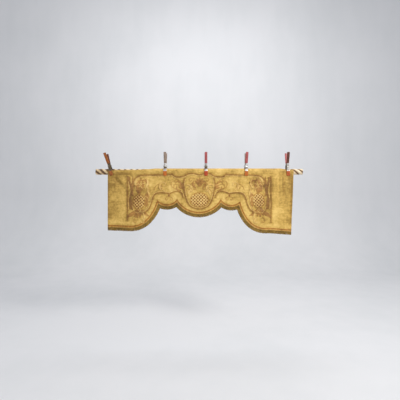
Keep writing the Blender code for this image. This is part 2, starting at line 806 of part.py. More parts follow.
def make_clamps():
    """The five sprung clamps, each on an empty that sets its place and its lean."""
    front_ear = ARM_PIVOT_WIDTH / 2 - 2 * EAR_THICKNESS
    back_ear = front_ear + EAR_THICKNESS + VINYL_GAP
    fronts = {stand: jaw_meshes("front", stand, front_ear) for _, _, stand in CLAMPS}
    shared = jaw_meshes("back", -(CLOTH_THICKNESS + SEAT_GAP), back_ear)
    shared["spring"] = spring_mesh()
    for number, (x, lean, stand) in enumerate(CLAMPS, 1):
        seat = bpy.data.objects.new(f"clamp_{number}", None)
        bpy.context.scene.collection.objects.link(seat)
        seat.location = (x, 0.0, 0.0)
        seat.rotation_euler = (0.0, math.radians(lean), 0.0)
        for part, mesh in (fronts[stand] | shared).items():
            piece = bpy.data.objects.new(f"clamp_{number}_{part}", mesh)
            bpy.context.scene.collection.objects.link(piece)
            piece.parent = seat
            if part.startswith("back"):
                piece.rotation_euler = (0.0, 0.0, math.pi)


HEM_PLACES = ("tail_left", "scallop_left", "swag", "scallop_right", "tail_right")


def main():
    clear_scene()
    make_pole()
    lay = lay_on(make_ground_cloth())
    make_galloons(lay)
    make_fringes()
    make_straps(lay)
    for place, (centre, half_width, half_height, lean) in MEDALLIONS.items():
        make_medallion(place, lay, centre, half_width, half_height, lean)
    make_leaf("palmette", lay, TRIM_GAP, PALMETTE_ROOT, PALMETTE_LENGTH, PALMETTE_SPREAD, 0.0, PALMETTE_LOBES)
    for number, (host, *shape) in enumerate(LEAVES, 1):
        leaf = make_leaf(f"leaf_{number}", lay, TRIM_GAP + FUSED_LIFT, *shape)
        fuse(bpy.data.objects[host], leaf, "UNION")
    make_clamps()


main()
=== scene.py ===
# %% [markdown]
# # A shaped silk pelmet on a rope-twist pole
# A pelmet is the short stiffened cloth that hides the top of a window. This one is gold silk, sewn all over
# with cord and leaf shapes, and five sprung clamps grip it over a carved pole. The measured solids come from
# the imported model, so they could be coloured and left as they are. They are plain on purpose, though, so each
# soft piece is made again here at thread scale, in the same place, and takes its solid's part.

# %% Tools and the measured model
import math
import random

import bmesh
import bpy
from mathutils import Matrix, Vector, noise
from mathutils.geometry import interpolate_bezier, intersect_line_line_2d
from mathutils.kdtree import KDTree


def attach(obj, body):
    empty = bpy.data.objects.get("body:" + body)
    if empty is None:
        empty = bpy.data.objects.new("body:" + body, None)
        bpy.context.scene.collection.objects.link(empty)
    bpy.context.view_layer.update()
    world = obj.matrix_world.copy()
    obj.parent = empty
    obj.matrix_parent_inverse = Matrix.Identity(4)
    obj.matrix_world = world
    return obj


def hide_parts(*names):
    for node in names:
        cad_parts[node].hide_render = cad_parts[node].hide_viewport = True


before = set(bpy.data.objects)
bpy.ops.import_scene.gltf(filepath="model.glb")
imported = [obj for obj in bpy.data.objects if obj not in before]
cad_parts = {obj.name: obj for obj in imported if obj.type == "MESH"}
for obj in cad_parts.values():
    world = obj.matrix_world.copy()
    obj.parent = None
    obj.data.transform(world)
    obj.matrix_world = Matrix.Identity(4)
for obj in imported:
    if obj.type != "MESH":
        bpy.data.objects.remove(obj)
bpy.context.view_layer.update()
scene = bpy.context.scene

# %% [markdown]
# ## The camera
# The pelmet was photographed square on, from the height of its middle. A long lens would flatten the clamps,
# and the photograph shows a little of each outer clamp's side, so the camera stands under three metres away.
# It is placed first because the lamps and the floor are arranged for it.

# %% A camera square on to the cloth
CLOTH_PLANE = -0.030
CAMERA_DISTANCE = 2.72
FRAME_WIDTH = 3.46
VIEW_CENTRE = Vector((0.007, -0.246))

camera_data = bpy.data.cameras.new("camera")
camera_data.sensor_width = 36.0
camera_data.lens = camera_data.sensor_width * CAMERA_DISTANCE / FRAME_WIDTH
camera = bpy.data.objects.new("camera", camera_data)
camera.location = (VIEW_CENTRE.x, CLOTH_PLANE - CAMERA_DISTANCE, VIEW_CENTRE.y)
camera.rotation_euler = (math.radians(90), 0.0, 0.0)
scene.collection.objects.link(camera)
scene.camera = camera
print("lens", round(camera_data.lens, 1), "mm")

# %% [markdown]
# ## Nodes in a few words
# A material in Blender is a tree of nodes. Setting up each one by hand takes many lines, so a few helpers
# add a node, sum up patterns, and make noise and waves whose size is given in metres. The last ones start a
# material and join its colour, its gloss and its bump to the shader.

# %% Helpers for node trees
# at scale 1 a noise texture has patches this many metres across, and a wave texture repeats this often
NOISE_PATCH = 0.5
WAVE_PITCH = 0.314


def add_node(tree, kind, inputs=None, **settings):
    """A new node with its settings, each input given as a value or as another node's output."""
    made = tree.nodes.new(kind)
    for name, value in settings.items():
        setattr(made, name, value)
    for name, value in (inputs or {}).items():
        if isinstance(value, bpy.types.NodeSocket):
            tree.links.new(value, made.inputs[name])
        else:
            made.inputs[name].default_value = value
    return made


def sum_of(tree, *terms):
    """The sum of (output, factor) pairs."""
    total = 0.0
    for output, factor in terms:
        inputs = {0: output, 1: factor, 2: total}
        total = add_node(tree, "ShaderNodeMath", inputs, operation="MULTIPLY_ADD").outputs[0]
    return total


def fitted(tree, value, low, high, new_low, new_high):
    """The value moved from one range to another and held there."""
    ends = {"Value": value, "From Min": low, "From Max": high, "To Min": new_low, "To Max": new_high}
    return add_node(tree, "ShaderNodeMapRange", ends).outputs[0]


def cloudy(tree, place, patch, detail=3.0, stretch=(1.0, 1.0, 1.0)):
    """Noise from 0 to 1 whose patches are patch metres across, shortened along each axis by stretch."""
    moved = add_node(tree, "ShaderNodeMapping", {"Vector": place, "Scale": stretch}).outputs[0]
    inputs = {"Vector": moved, "Scale": NOISE_PATCH / patch, "Detail": detail}
    return add_node(tree, "ShaderNodeTexNoise", inputs).outputs[0]


def waves(tree, place, pitch, wander, detail=2.0, **settings):
    """Soft ridges, pitch metres apart."""
    inputs = {"Vector": place, "Scale": WAVE_PITCH / pitch, "Distortion": wander, "Detail Scale": detail}
    return add_node(tree, "ShaderNodeTexWave", inputs, **settings).outputs[1]


def dye(red, green, blue):
    """A colour seen as 0 to 255, turned into the light that Blender works with."""
    parts = [c / 255 for c in (red, green, blue)]
    return (*[p / 12.92 if p <= 0.04045 else ((p + 0.055) / 1.055) ** 2.4 for p in parts], 1.0)


def tone_of(tree):
    """The number called tone that each mesh carries."""
    return add_node(tree, "ShaderNodeAttribute", attribute_name="tone").outputs["Fac"]


def colour_of(tree, value, low, high, stops):
    """A colour for the value from low to high, given as (share, colour) stops."""
    ramp = add_node(tree, "ShaderNodeValToRGB", {"Fac": fitted(tree, value, low, high, 0.0, 1.0)})
    marks = ramp.color_ramp.elements
    marks[0].color = stops[0][1]
    marks[1].color = stops[-1][1]
    for share, colour in stops[1:-1]:
        marks.new(share).color = colour
    return ramp.outputs[0]


def new_finish(name):
    """A new material, its tree, and the place on the object that its patterns are read from."""
    made = bpy.data.materials.new(name)
    made.use_nodes = True
    return made, made.node_tree, add_node(made.node_tree, "ShaderNodeTexCoord").outputs["Object"]


def surfaced(made, colour, gloss, height, strength, relief, plain=()):
    """The material once colour, gloss and bump are joined to its shader and its plain numbers are set."""
    tree = made.node_tree
    shader = tree.nodes["Principled BSDF"]
    bump = add_node(tree, "ShaderNodeBump", {"Height": height, "Strength": strength, "Distance": relief})
    for socket, output in (("Base Color", colour), ("Roughness", gloss), ("Normal", bump.outputs[0])):
        tree.links.new(output, shader.inputs[socket])
    for socket, number in plain:
        shader.inputs[socket].default_value = number
    return made


# %% [markdown]
# ## Cloth, cord and braid
# Everything sewn here is thread, lit so that the threads catch a soft gleam. A picture of cloth could be
# wrapped round each piece, but it would smear round the folds. Threads that are computed from the place on
# the object stay the same size everywhere. The colour wanders between three tones, because old silk fades in
# some places and soils in others, and painted shade darkens it in creases and beside the sewn lines. Each
# mesh carries a number called tone that says which.

# %% One recipe for every textile
# share of the dark tone that the darkest tone keeps, for painted shade and for soiled silk
SHADED_AND_SOILED = 0.62
FADED_PATCH = 0.060
MOTTLED_PATCH = 0.009
SLUB_PATCH = 0.030
WEFT_SHARE = 1.15
PLAIN = "XZ"
TWIST = "DIAGONAL"
LONG = (1, 1, 7)
SHORT = (9, 9, 1)


def textile(name, light, middle, dark, pitch, ridge, rough, sheen, slub, weave):
    """Thread of three tones: weave in the bump, wear and painted shade in the colour, wear in the gloss."""
    made, tree, place = new_finish(name)
    faded = cloudy(tree, place, FADED_PATCH, 4.0)
    mottled = cloudy(tree, place, MOTTLED_PATCH, 4.0)
    slubs = cloudy(tree, place, SLUB_PATCH, 2.0, slub)
    if weave == PLAIN:
        warp = waves(tree, place, pitch, 0.6, bands_direction="X")
        weft = waves(tree, place, pitch * WEFT_SHARE, 0.6, bands_direction="Z")
        grain = sum_of(tree, (warp, 0.5), (weft, 0.5))
    else:
        grain = waves(tree, place, pitch, 1.5, bands_direction=weave)
    # the tone brings faded and soiled places into the colour, and painted shade in creases and beside the sewn
    # lines
    worn = sum_of(tree, (tone_of(tree), 0.5), (faded, 1.1), (mottled, 0.9), (slubs, 0.5), (grain, 0.16))
    shaded_and_soiled = [c * SHADED_AND_SOILED for c in dark[:3]] + [1.0]
    colour = colour_of(tree, worn, 0.53, 1.73, ((0.0, shaded_and_soiled), (0.33, dark), (0.67, middle), (1.0, light)))
    gloss = fitted(tree, sum_of(tree, (mottled, 0.7), (faded, 0.3)), 0.3, 0.7, rough + 0.10, rough - 0.08)
    relief = sum_of(tree, (grain, 0.7), (mottled, 0.8), (slubs, 0.4))
    plain = (("Sheen Weight", sheen), ("Sheen Roughness", 0.4), ("Specular IOR Level", 0.35))
    return surfaced(made, colour, gloss, relief, 0.8, ridge, plain)


# name, light, middle and dark tone, pitch and ridge of the threads in tenths of a millimetre, roughness,
# sheen, slubs, weave
TEXTILES = (
    ("silk_face", (236, 198, 114), (207, 168, 84), (157, 121, 49), 9, 2.5, 0.50, 0.25, LONG, PLAIN),
    ("silk_back", (206, 178, 126), (186, 156, 102), (150, 120, 70), 9, 2.5, 0.70, 0.10, LONG, PLAIN),
    ("braid_silk", (200, 140, 58), (170, 114, 42), (124, 82, 28), 12, 4, 0.55, 0.25, SHORT, TWIST),
    ("dark_braid_silk", (168, 130, 60), (138, 104, 42), (96, 70, 26), 12, 4, 0.55, 0.25, SHORT, TWIST),
    ("braid_gold_thread", (228, 184, 98), (200, 154, 70), (150, 108, 42), 10, 3, 0.42, 0.25, LONG, TWIST),
    ("fringe_thread", (178, 144, 68), (136, 106, 42), (86, 66, 24), 8, 2, 0.75, 0.05, SHORT, TWIST),
    ("brown_cord", (214, 168, 88), (188, 142, 66), (150, 108, 44), 14, 4, 0.55, 0.25, LONG, TWIST),
    ("patch_silk", (174, 122, 58), (148, 98, 42), (112, 70, 26), 10, 3, 0.60, 0.25, LONG, PLAIN),
    ("satin_stitch", (206, 154, 82), (178, 128, 60), (136, 94, 40), 11, 4, 0.46, 0.30, LONG, TWIST),
    ("light_cord", (254, 226, 150), (244, 206, 124), (198, 154, 82), 12, 4, 0.45, 0.25, LONG, TWIST),
    ("pale_cord", (244, 210, 134), (226, 186, 106), (184, 142, 72), 12, 4, 0.45, 0.25, LONG, TWIST),
)
SILKS = {}
for name, light, middle, dark, pitch, ridge, *wear in TEXTILES:
    SILKS[name] = textile(name, dye(*light), dye(*middle), dye(*dark), pitch / 10000, ridge / 10000, *wear)
print("textiles:", len(SILKS))

# %% [markdown]
# ## The numbers of the cloth
# The cloth goes over the pole and hangs flat, and its lower edge is cut into two tails, two small scallops
# and a deep middle lobe. These are the part's own measured numbers, repeated here so that the fine pieces
# lie exactly where the solids are.

# %% The pole, the cloth and its edge
POLE_HALF_LENGTH = 0.900
POLE_RADIUS = 0.026
POLE_STRANDS = 3
POLE_LAY = 0.162
POLE_GROOVE = 0.0062
CLOTH_THICKNESS = 0.003
HALF_CLOTH = CLOTH_THICKNESS / 2
SEAT_GAP = 0.0008
CLOTH_RADIUS = POLE_RADIUS + SEAT_GAP + HALF_CLOTH
LEFT_EDGE = -0.791
RIGHT_EDGE = 0.817
RIGHT_EDGE_LEAN = 0.040
RIGHT_LEAN_START = 0.600
LEFT_CORNER = Vector((LEFT_EDGE, -0.461))
LEFT_TAIL_TURN = Vector((-0.600, -0.467))
LEFT_TAIL_HANDLES = (Vector((-0.485, -0.474)), Vector((-0.405, -0.385)))
LEFT_CUSP_OUTER = Vector((-0.363, -0.244))
LEFT_CUSP_INNER = Vector((-0.191, -0.238))
RIGHT_CUSP_INNER = Vector((0.187, -0.238))
RIGHT_CUSP_OUTER = Vector((0.355, -0.257))
RIGHT_TAIL_HANDLES = (Vector((0.396, -0.418)), Vector((0.475, -0.498)))
RIGHT_TAIL_TURN = Vector((0.600, -0.485))
RIGHT_CORNER = Vector((RIGHT_EDGE, -0.500))
SCALLOP_SAG = 0.041
SWAG_SAG = 0.110
HEM_SAMPLES = 64
GALLOON_WIDTH = 0.024
HEADER_WIDTH = 0.004
LOCK_LENGTH = 0.018
LOCK_PITCH = 0.0105
TRIM_GAP = 0.0006
HEM_PLACES = ("tail_left", "scallop_left", "swag", "scallop_right", "tail_right")

# place along the pole, and how many degrees up from its front the heading reaches there
HEADING_REACH = (
    (-0.791, 25.0),
    (-0.560, 30.0),
    (-0.450, 46.0),
    (-0.345, 84.0),
    (-0.280, 96.0),
    (0.600, 100.0),
    (0.690, 84.0),
    (0.750, 42.0),
    (0.817, 36.0),
)

# %% [markdown]
# ## How the cloth moves
# A cloth simulation could drape the pelmet, but this cloth is stiff and nearly flat, and the few folds in the
# photograph come from where the clamps pull. So each fold is a row in a table, a soft ridge or hollow that
# leans, starts at one drop and dies away at another. The last rows are the sharp drag lines below the
# outer clamps.

# %% The folds
# crest at the pole, lean for each metre of drop, half width, rise, and the drops where it starts, stands
# fully, begins to fade and is gone
FOLDS = (
    (-0.785, 0.85, 0.048, -0.0055, 0.01, 0.08, 0.11, 0.24),
    (-0.715, 0.60, 0.055, 0.0045, 0.05, 0.12, 0.14, 0.26),
    (-0.540, 0.05, 0.160, 0.0110, 0.03, 0.34, 0.80, 0.90),
    (-0.300, 0.10, 0.110, -0.0060, 0.05, 0.26, 0.80, 0.90),
    (0.010, 0.00, 0.150, 0.0060, 0.03, 0.28, 0.80, 0.90),
    (0.380, -0.20, 0.080, -0.0045, 0.05, 0.15, 0.18, 0.34),
    (0.240, 0.10, 0.110, -0.0050, 0.02, 0.26, 0.80, 0.90),
    (0.550, 0.08, 0.160, 0.0100, 0.03, 0.34, 0.80, 0.90),
    (0.712, 0.02, 0.045, -0.0040, 0.01, 0.10, 0.16, 0.36),
    (0.780, 0.02, 0.045, 0.0040, 0.07, 0.16, 0.20, 0.42),
    (-0.783, 0.92, 0.018, -0.0100, 0.04, 0.07, 0.11, 0.18),
    (-0.748, 0.92, 0.018, 0.0070, 0.04, 0.07, 0.10, 0.18),
    (-0.800, 0.50, 0.014, 0.0030, 0.05, 0.09, 0.12, 0.22),
    (0.700, -0.04, 0.010, -0.0036, 0.05, 0.09, 0.18, 0.34),
    (0.724, -0.02, 0.009, 0.0030, 0.05, 0.09, 0.20, 0.38),
    (0.748, 0.00, 0.010, -0.0040, 0.05, 0.10, 0.24, 0.42),
    (0.772, 0.02, 0.009, 0.0030, 0.06, 0.11, 0.24, 0.40),
    (0.797, 0.02, 0.010, -0.0036, 0.05, 0.12, 0.34, 0.46),
)


def smooth_step(value):
    """0 below 0, 1 above 1, and a soft S between."""
    held = min(max(value, 0.0), 1.0)
    return held * held * (3.0 - 2.0 * held)


def between_rows(rows, place):
    """Reads a table of (place, value) rows with soft steps from row to row."""
    if place <= rows[0][0]:
        return rows[0][1]
    for (near, low), (far, high) in zip(rows, rows[1:]):
        if place <= far:
            return low + (high - low) * smooth_step((place - near) / (far - near))
    return rows[-1][1]


def billow(x, drop):
    """How far the cloth stands forward of the pole's front at that drop below the pole's axis."""
    forward = 0.0
    for crest, lean, half_width, rise, first, full, fading, gone in FOLDS:
        across = (x - crest - lean * drop) / half_width
        come = smooth_step((drop - first) / (full - first))
        go = 1.0 - smooth_step((drop - fading) / (gone - fading))
        forward += rise * math.exp(-across * across) * come * go
    return forward


# %% [markdown]
# ## The lines of the ornament
# The ornament is braid and cord sewn down along drawn lines, which enclose three medallions. Only the right
# half of each line is written down, because the left one mirrors it. The lines come before the cloth: thread
# draws cloth in where it is sewn, so the cloth has to know where they run.

# %% Straps, medallions and leaves
UPPER_STRAP_HALF = (
    (0.000, -0.028), (0.045, -0.018), (0.095, -0.020), (0.135, -0.040), (0.178, -0.047),
    (0.212, -0.040), (0.232, -0.022), (0.258, -0.027), (0.330, -0.029), (0.430, -0.030),
    (0.505, -0.034), (0.550, -0.056), (0.570, -0.096), (0.558, -0.126),
)
LOWER_STRAP_HALF = (
    (0.139, -0.222), (0.154, -0.186), (0.188, -0.171), (0.224, -0.178), (0.258, -0.190),
    (0.302, -0.185), (0.346, -0.184), (0.382, -0.198), (0.402, -0.234), (0.414, -0.280),
    (0.436, -0.326), (0.470, -0.356),
)
CARTOUCHE_HALF = (
    (0.128, -0.062), (0.136, -0.100), (0.132, -0.150), (0.122, -0.205), (0.106, -0.255),
    (0.074, -0.302), (0.000, -0.324),
)
SIDE_BAND_HALF = (
    (0.602, -0.052), (0.600, -0.100), (0.588, -0.150), (0.590, -0.200), (0.601, -0.255),
    (0.596, -0.318),
)
STRAP_WIDTH = 0.012
BORDER_WIDTH = 0.010

# centre, half width, half height, lean in degrees
MEDALLIONS = {
    "left": ((-0.520, -0.262), 0.052, 0.064, -5.0),
    "centre": ((0.002, -0.246), 0.079, 0.062, 0.0),
    "right": ((0.512, -0.250), 0.052, 0.062, 5.0),
}

# solid it belongs to, root, length, half spread, direction round from straight up, lobes
LEAVES = (
    ("medallion_left", (-0.516, -0.196), 0.050, 42.0, 10.0, 3),
    ("medallion_left", (-0.528, -0.326), 0.080, 56.0, 176.0, 5),
    ("medallion_right", (0.508, -0.186), 0.048, 48.0, -10.0, 3),
    ("medallion_right", (0.520, -0.312), 0.084, 54.0, 186.0, 5),
    ("cartouche_strap", (-0.134, -0.150), 0.056, 44.0, 40.0, 3),
    ("cartouche_strap", (0.134, -0.150), 0.052, 44.0, -44.0, 3),
    ("lower_strap_left", (-0.262, -0.190), 0.030, 26.0, 180.0, 3),
    ("lower_strap_right", (0.262, -0.190), 0.030, 26.0, 180.0, 3),
    ("palmette", (0.004, -0.126), 0.078, 52.0, 0.0, 5),
)


def length_of(line):
    return sum((b - a).length for a, b in zip(line, line[1:]))


def even_shares(count):
    return [k / count for k in range(count + 1)]


def along_line(line, shares, trim=0.0):
    """Points at those shares of the line's length, after trim is taken off both of its ends."""
    whole = length_of(line)
    found, walked, k = [], 0.0, 0
    for goal in [trim + share * (whole - 2 * trim) for share in shares]:
        while k < len(line) - 2 and walked + (line[k + 1] - line[k]).length < goal:
            walked += (line[k + 1] - line[k]).length
            k += 1
        step = (line[k + 1] - line[k]).length
        found.append(line[k].lerp(line[k + 1], min(1.0, (goal - walked) / step)))
    return found


def curve_through(points, step):
    """A smooth line through the points, sampled about every step."""
    knots = [Vector(p) for p in points]
    padded = [2 * knots[0] - knots[1]] + knots + [2 * knots[-1] - knots[-2]]
    dense = [knots[0]]
    for a, b, c, d in zip(padded, padded[1:], padded[2:], padded[3:]):
        dense += [Vector(p[:2]) for p in interpolate_bezier(b, b + (c - a) / 6, c - (d - b) / 6, c, 9)[1:]]
    return along_line(dense, even_shares(max(2, round(length_of(dense) / step))))


def mirrored(points):
    return tuple((-x, z) for x, z in points)


STRAP_LINES = {
    "upper_strap": mirrored(UPPER_STRAP_HALF[:0:-1]) + UPPER_STRAP_HALF,
    "lower_strap_left": mirrored(LOWER_STRAP_HALF),
    "lower_strap_right": LOWER_STRAP_HALF,
    "cartouche_strap": mirrored(CARTOUCHE_HALF) + CARTOUCHE_HALF[-2::-1],
    "side_band_left": mirrored(SIDE_BAND_HALF),
    "side_band_right": SIDE_BAND_HALF,
    "border_braid_left": ((-0.620, -0.046), (-0.620, -0.240), (-0.620, -0.420)),
    "border_braid_right": ((0.620, -0.046), (0.620, -0.240), (0.620, -0.445)),
}


def tree_of(lines):
    """The points of the flat lines, in a tree that finds the nearest of them."""
    points = [point for line in lines for point in line]
    tree = KDTree(len(points))
    for number, point in enumerate(points):
        tree.insert((point.x, 0.0, point.y), number)
    tree.balance()
    return tree


def distance_to(tree, x, z):
    return tree.find((x, 0.0, z))[2]


sewn_tree = tree_of([curve_through(line, 0.006) for line in STRAP_LINES.values()])
print("sewn lines:", len(STRAP_LINES))

# %% [markdown]
# ## One surface for everything to lie on
# Every trimming follows the cloth's front, so one function gives the front at any place seen from the front,
# lifted by any height. It adds two small things to the folds: the slack waves that any hung cloth has, and
# the puckers beside the sewn lines. Both fade out near the pole, where the clamps hold the cloth flat.

# %% The front of the cloth
SLACK_WAVE = 0.0016
PUCKER_DEPTH = 0.0009
PUCKER_REACH = 0.016
SEWN_DIP = 0.0005
SEWN_DIP_REACH = 0.010
CALM_DROP = 0.040
CALM_FADE = 0.060
SLACK_RATE = (9.0, 6.0)
PUCKER_RATE = 75.0


def pucker(x, z):
    """The fine unevenness of the hanging cloth."""
    calm = smooth_step((-z - CALM_DROP) / CALM_FADE)
    if calm == 0.0:
        return 0.0
    away = distance_to(sewn_tree, x, z)
    wave = SLACK_WAVE * noise.noise(Vector((x * SLACK_RATE[0], 0.0, z * SLACK_RATE[1])))
    ripple = PUCKER_DEPTH * noise.noise(Vector((x * PUCKER_RATE, 3.0, z * PUCKER_RATE)))
    dip = SEWN_DIP * math.exp(-((away / SEWN_DIP_REACH) ** 2))
    return calm * (wave + ripple * math.exp(-away / PUCKER_REACH) - dip)


def cloth_place(x, z, lift):
    """A point lift in front of the cloth's middle layer, at (x, z) seen from the front."""
    drop = -z
    lean = RIGHT_EDGE_LEAN * drop * smooth_step((x - RIGHT_LEAN_START) / (RIGHT_EDGE - RIGHT_LEAN_START))
    return Vector((x - lean, -(CLOTH_RADIUS + lift + billow(x, drop) + pucker(x, z)), z))


def on_front(flat, height):
    """A point that height off the cloth's front face."""
    return cloth_place(flat.x, flat.y, HALF_CLOTH + height)


def heading_place(x, angle, lift):
    """A point on the heading, at that angle up and over the pole from its front."""
    reach = CLOTH_RADIUS + lift
    return Vector((x, -reach * math.cos(angle), reach * math.sin(angle)))


def arc_of(start, end, sag):
    """Samples the round arc from start to end that hangs sag below its chord."""
    half = (end - start).length / 2
    radius = (half * half + sag * sag) / (2 * sag)
    along = (end - start).normalized()
    up = Vector((-along.y, along.x))
    centre = (start + end) / 2 + up * (radius - sag)
    half_angle = math.asin(half / radius)
    steps = [half_angle * (2 * k / HEM_SAMPLES - 1) for k in range(HEM_SAMPLES + 1)]
    return [centre + radius * (along * math.sin(a) - up * math.cos(a)) for a in steps]


def silk_edges():
    """The edge of the plain silk as five lines of (x, z), from the left tail to the right one."""
    left_round = interpolate_bezier(LEFT_TAIL_TURN, *LEFT_TAIL_HANDLES, LEFT_CUSP_OUTER, HEM_SAMPLES)
    right_round = interpolate_bezier(RIGHT_CUSP_OUTER, *RIGHT_TAIL_HANDLES, RIGHT_TAIL_TURN, HEM_SAMPLES)
    return [
        [LEFT_CORNER] + [Vector(p[:2]) for p in left_round],
        arc_of(LEFT_CUSP_OUTER, LEFT_CUSP_INNER, SCALLOP_SAG),
        arc_of(LEFT_CUSP_INNER, RIGHT_CUSP_INNER, SWAG_SAG),
        arc_of(RIGHT_CUSP_INNER, RIGHT_CUSP_OUTER, SCALLOP_SAG),
        [Vector(p[:2]) for p in right_round] + [RIGHT_CORNER],
    ]


def step_at(line, k):
    """The step from the place before number k to the place after it."""
    return line[min(k + 1, len(line) - 1)] - line[max(k - 1, 0)]


def moved_out(line, distance):
    """The line moved outwards, to the right of its direction."""
    ways = [step_at(line, k).normalized() for k in range(len(line))]
    return [point + Vector((way.y, -way.x)) * distance for point, way in zip(line, ways)]


def cut_at_crossing(near, far):
    """Cuts two lines that cross at a cusp so that both end at their crossing."""
    for i in range(len(near) - 1, 0, -1):
        for j in range(len(far) - 1):
            met = intersect_line_line_2d(near[i - 1], near[i], far[j], far[j + 1])
            if met is not None:
                met = Vector(met[:2])
                return near[:i] + [met], [met] + far[j + 1 :]
    return near, far


def hem_edges(distance):
    """The hem's five lines at that distance outside the plain silk's edge, meeting at their mitres."""
    moved = [moved_out(line, distance) for line in silk_edges()]
    moved[0][0].x = LEFT_EDGE
    moved[-1][-1].x = RIGHT_EDGE
    if distance > 0:
        for k in range(len(moved) - 1):
            moved[k], moved[k + 1] = cut_at_crossing(moved[k], moved[k + 1])
    return moved


print("hem length", round(sum(length_of(line) for line in hem_edges(GALLOON_WIDTH)), 3), "m")

# %% [markdown]
# ## Where the silk has faded, and where shade is painted
# Light and handling change old silk unevenly: the right end is pale and the sewn middle is soiled. The upper
# left is darkened with painted shade, and the flutes of the right end take painted shade and light. Painting
# this by hand would be slow to correct. A table of soft-edged places does it, and every mesh reads its tone
# from the same table, so a faded place runs on through the trimmings that cross it. The band just inside the
# hem is made lighter, and painted shade lies beside the sewn lines, so both are read from the distance to the
# nearest edge or line. The last rows darken the pole's left end and paint shade on the clamps' steel.

# %% Tone, and meshes that carry it
# x, z, reach across, reach up and down, amount: above zero is lighter, below it darker. Most rows are
# faded and soiled silk; the rows marked below paint shade and light.
TONES = (
    # painted shade on the upper left, then a painted shadow line across the heading where the cloth hangs from
    # the pole
    (-0.725, -0.085, 0.080, 0.100, -0.75),
    (-0.680, -0.0185, 0.110, 0.008, -0.90),
    (-0.720, -0.370, 0.090, 0.080, -0.34),
    (-0.530, -0.250, 0.090, 0.110, -0.45),
    (-0.400, -0.090, 0.060, 0.050, 0.45),
    (-0.290, -0.080, 0.040, 0.050, -0.25),
    (-0.220, -0.130, 0.050, 0.050, 0.45),
    (0.000, -0.110, 0.110, 0.060, -0.15),
    (0.002, -0.246, 0.070, 0.050, 0.30),
    (0.150, -0.118, 0.042, 0.050, 0.60),
    (0.285, -0.110, 0.048, 0.070, 0.80),
    (0.352, -0.090, 0.016, 0.050, -0.30),
    (0.395, -0.100, 0.035, 0.050, 0.40),
    (0.482, -0.090, 0.030, 0.050, -0.45),
    (0.270, -0.235, 0.070, 0.030, -0.24),
    (0.375, -0.160, 0.060, 0.035, 0.30),
    (0.560, -0.250, 0.060, 0.130, -0.35),
    (0.480, -0.390, 0.045, 0.050, 0.14),
    (0.650, -0.390, 0.040, 0.120, 0.60),
    (0.700, -0.240, 0.060, 0.070, -0.26),
    # painted shade in two valleys of the right end's flutes
    (0.745, -0.200, 0.020, 0.200, -0.30),
    (0.804, -0.250, 0.026, 0.300, -0.90),
    (0.705, -0.080, 0.110, 0.085, -0.66),
    # painted light and shade along the right end's flutes
    (0.684, -0.090, 0.006, 0.080, 0.50),
    (0.712, -0.100, 0.006, 0.090, 0.45),
    (0.727, -0.120, 0.005, 0.100, -0.50),
    (0.752, -0.110, 0.006, 0.100, 0.50),
    (0.776, -0.120, 0.006, 0.110, -0.40),
    (-0.790, -0.250, 0.012, 0.300, -0.50),
    (-0.860, 0.000, 0.060, 0.060, -0.80),
    # painted shade on the clamps: all of the first clamp, the pivots of the next three, and each lever's left
    # edge
    (-0.764, 0.050, 0.030, 0.034, -2.60),
    (-0.296, 0.034, 0.020, 0.012, -0.80),
    (-0.308, 0.055, 0.007, 0.035, -1.20),
    (0.059, 0.036, 0.020, 0.012, -1.80),
    (0.048, 0.055, 0.007, 0.035, -0.80),
    (0.408, 0.034, 0.020, 0.010, -0.60),
    (0.399, 0.050, 0.006, 0.030, -1.20),
    (0.754, 0.052, 0.007, 0.036, -2.40),
)
HEM_BAND = 0.024
HEM_BAND_LIGHTER = 0.42
HEM_BAND_REACH = 0.020
# painted shade beside the sewn lines, on the silk and on the straps themselves
SEAM_REACH = 0.016
SEAM_SHADE = 0.60

hem_tree = tree_of([along_line(line, even_shares(60)) for line in hem_edges(-HEM_BAND)])


def tone_at(x, z):
    tone = 0.0
    for centre_x, centre_z, reach_x, reach_z, amount in TONES:
        away = ((x - centre_x) / reach_x) ** 2 + ((z - centre_z) / reach_z) ** 2
        if away < 8.0:
            tone += amount * math.exp(-away)
    tone += HEM_BAND_LIGHTER * math.exp(-((distance_to(hem_tree, x, z) / HEM_BAND_REACH) ** 2))
    return tone - SEAM_SHADE * math.exp(-((distance_to(sewn_tree, x, z) / SEAM_REACH) ** 2))


def add_piece(name, build_mesh, finishes, replaced=(), sharp=50.0):
    """A smooth, toned piece that rides on the model and stands for the solids that it replaces."""
    bmesh.ops.recalc_face_normals(build_mesh, faces=build_mesh.faces)
    mesh = bpy.data.meshes.new(name)
    build_mesh.to_mesh(mesh)
    build_mesh.free()
    mesh.shade_smooth()
    mesh.set_sharp_from_angle(angle=math.radians(sharp))
    for finish in finishes:
        mesh.materials.append(finish)
    tones = mesh.attributes.new("tone", "FLOAT", "POINT")
    tones.data.foreach_set("value", [tone_at(corner.co.x, corner.co.z) for corner in mesh.vertices])
    made = bpy.data.objects.new(name, mesh)
    scene.collection.objects.link(made)
    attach(made, "root")
    if replaced:
        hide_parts(*replaced)
    return made


def join_rows(build_mesh, near, far, finish_of):
    """Faces between two closed rows of corners."""
    for k in range(len(near)):
        n = (k + 1) % len(near)
        build_mesh.faces.new((near[k], near[n], far[n], far[k])).material_index = finish_of[k]


def loft(build_mesh, rings, finish_of=None, end_finish=0):
    """Faces through rings of equal count, with both ends filled."""
    rows = [[build_mesh.verts.new(point) for point in ring] for ring in rings]
    for near, far in zip(rows, rows[1:]):
        join_rows(build_mesh, near, far, finish_of or [0] * len(near))
    for end in rows[0], rows[-1]:
        build_mesh.faces.new(end).material_index = end_finish


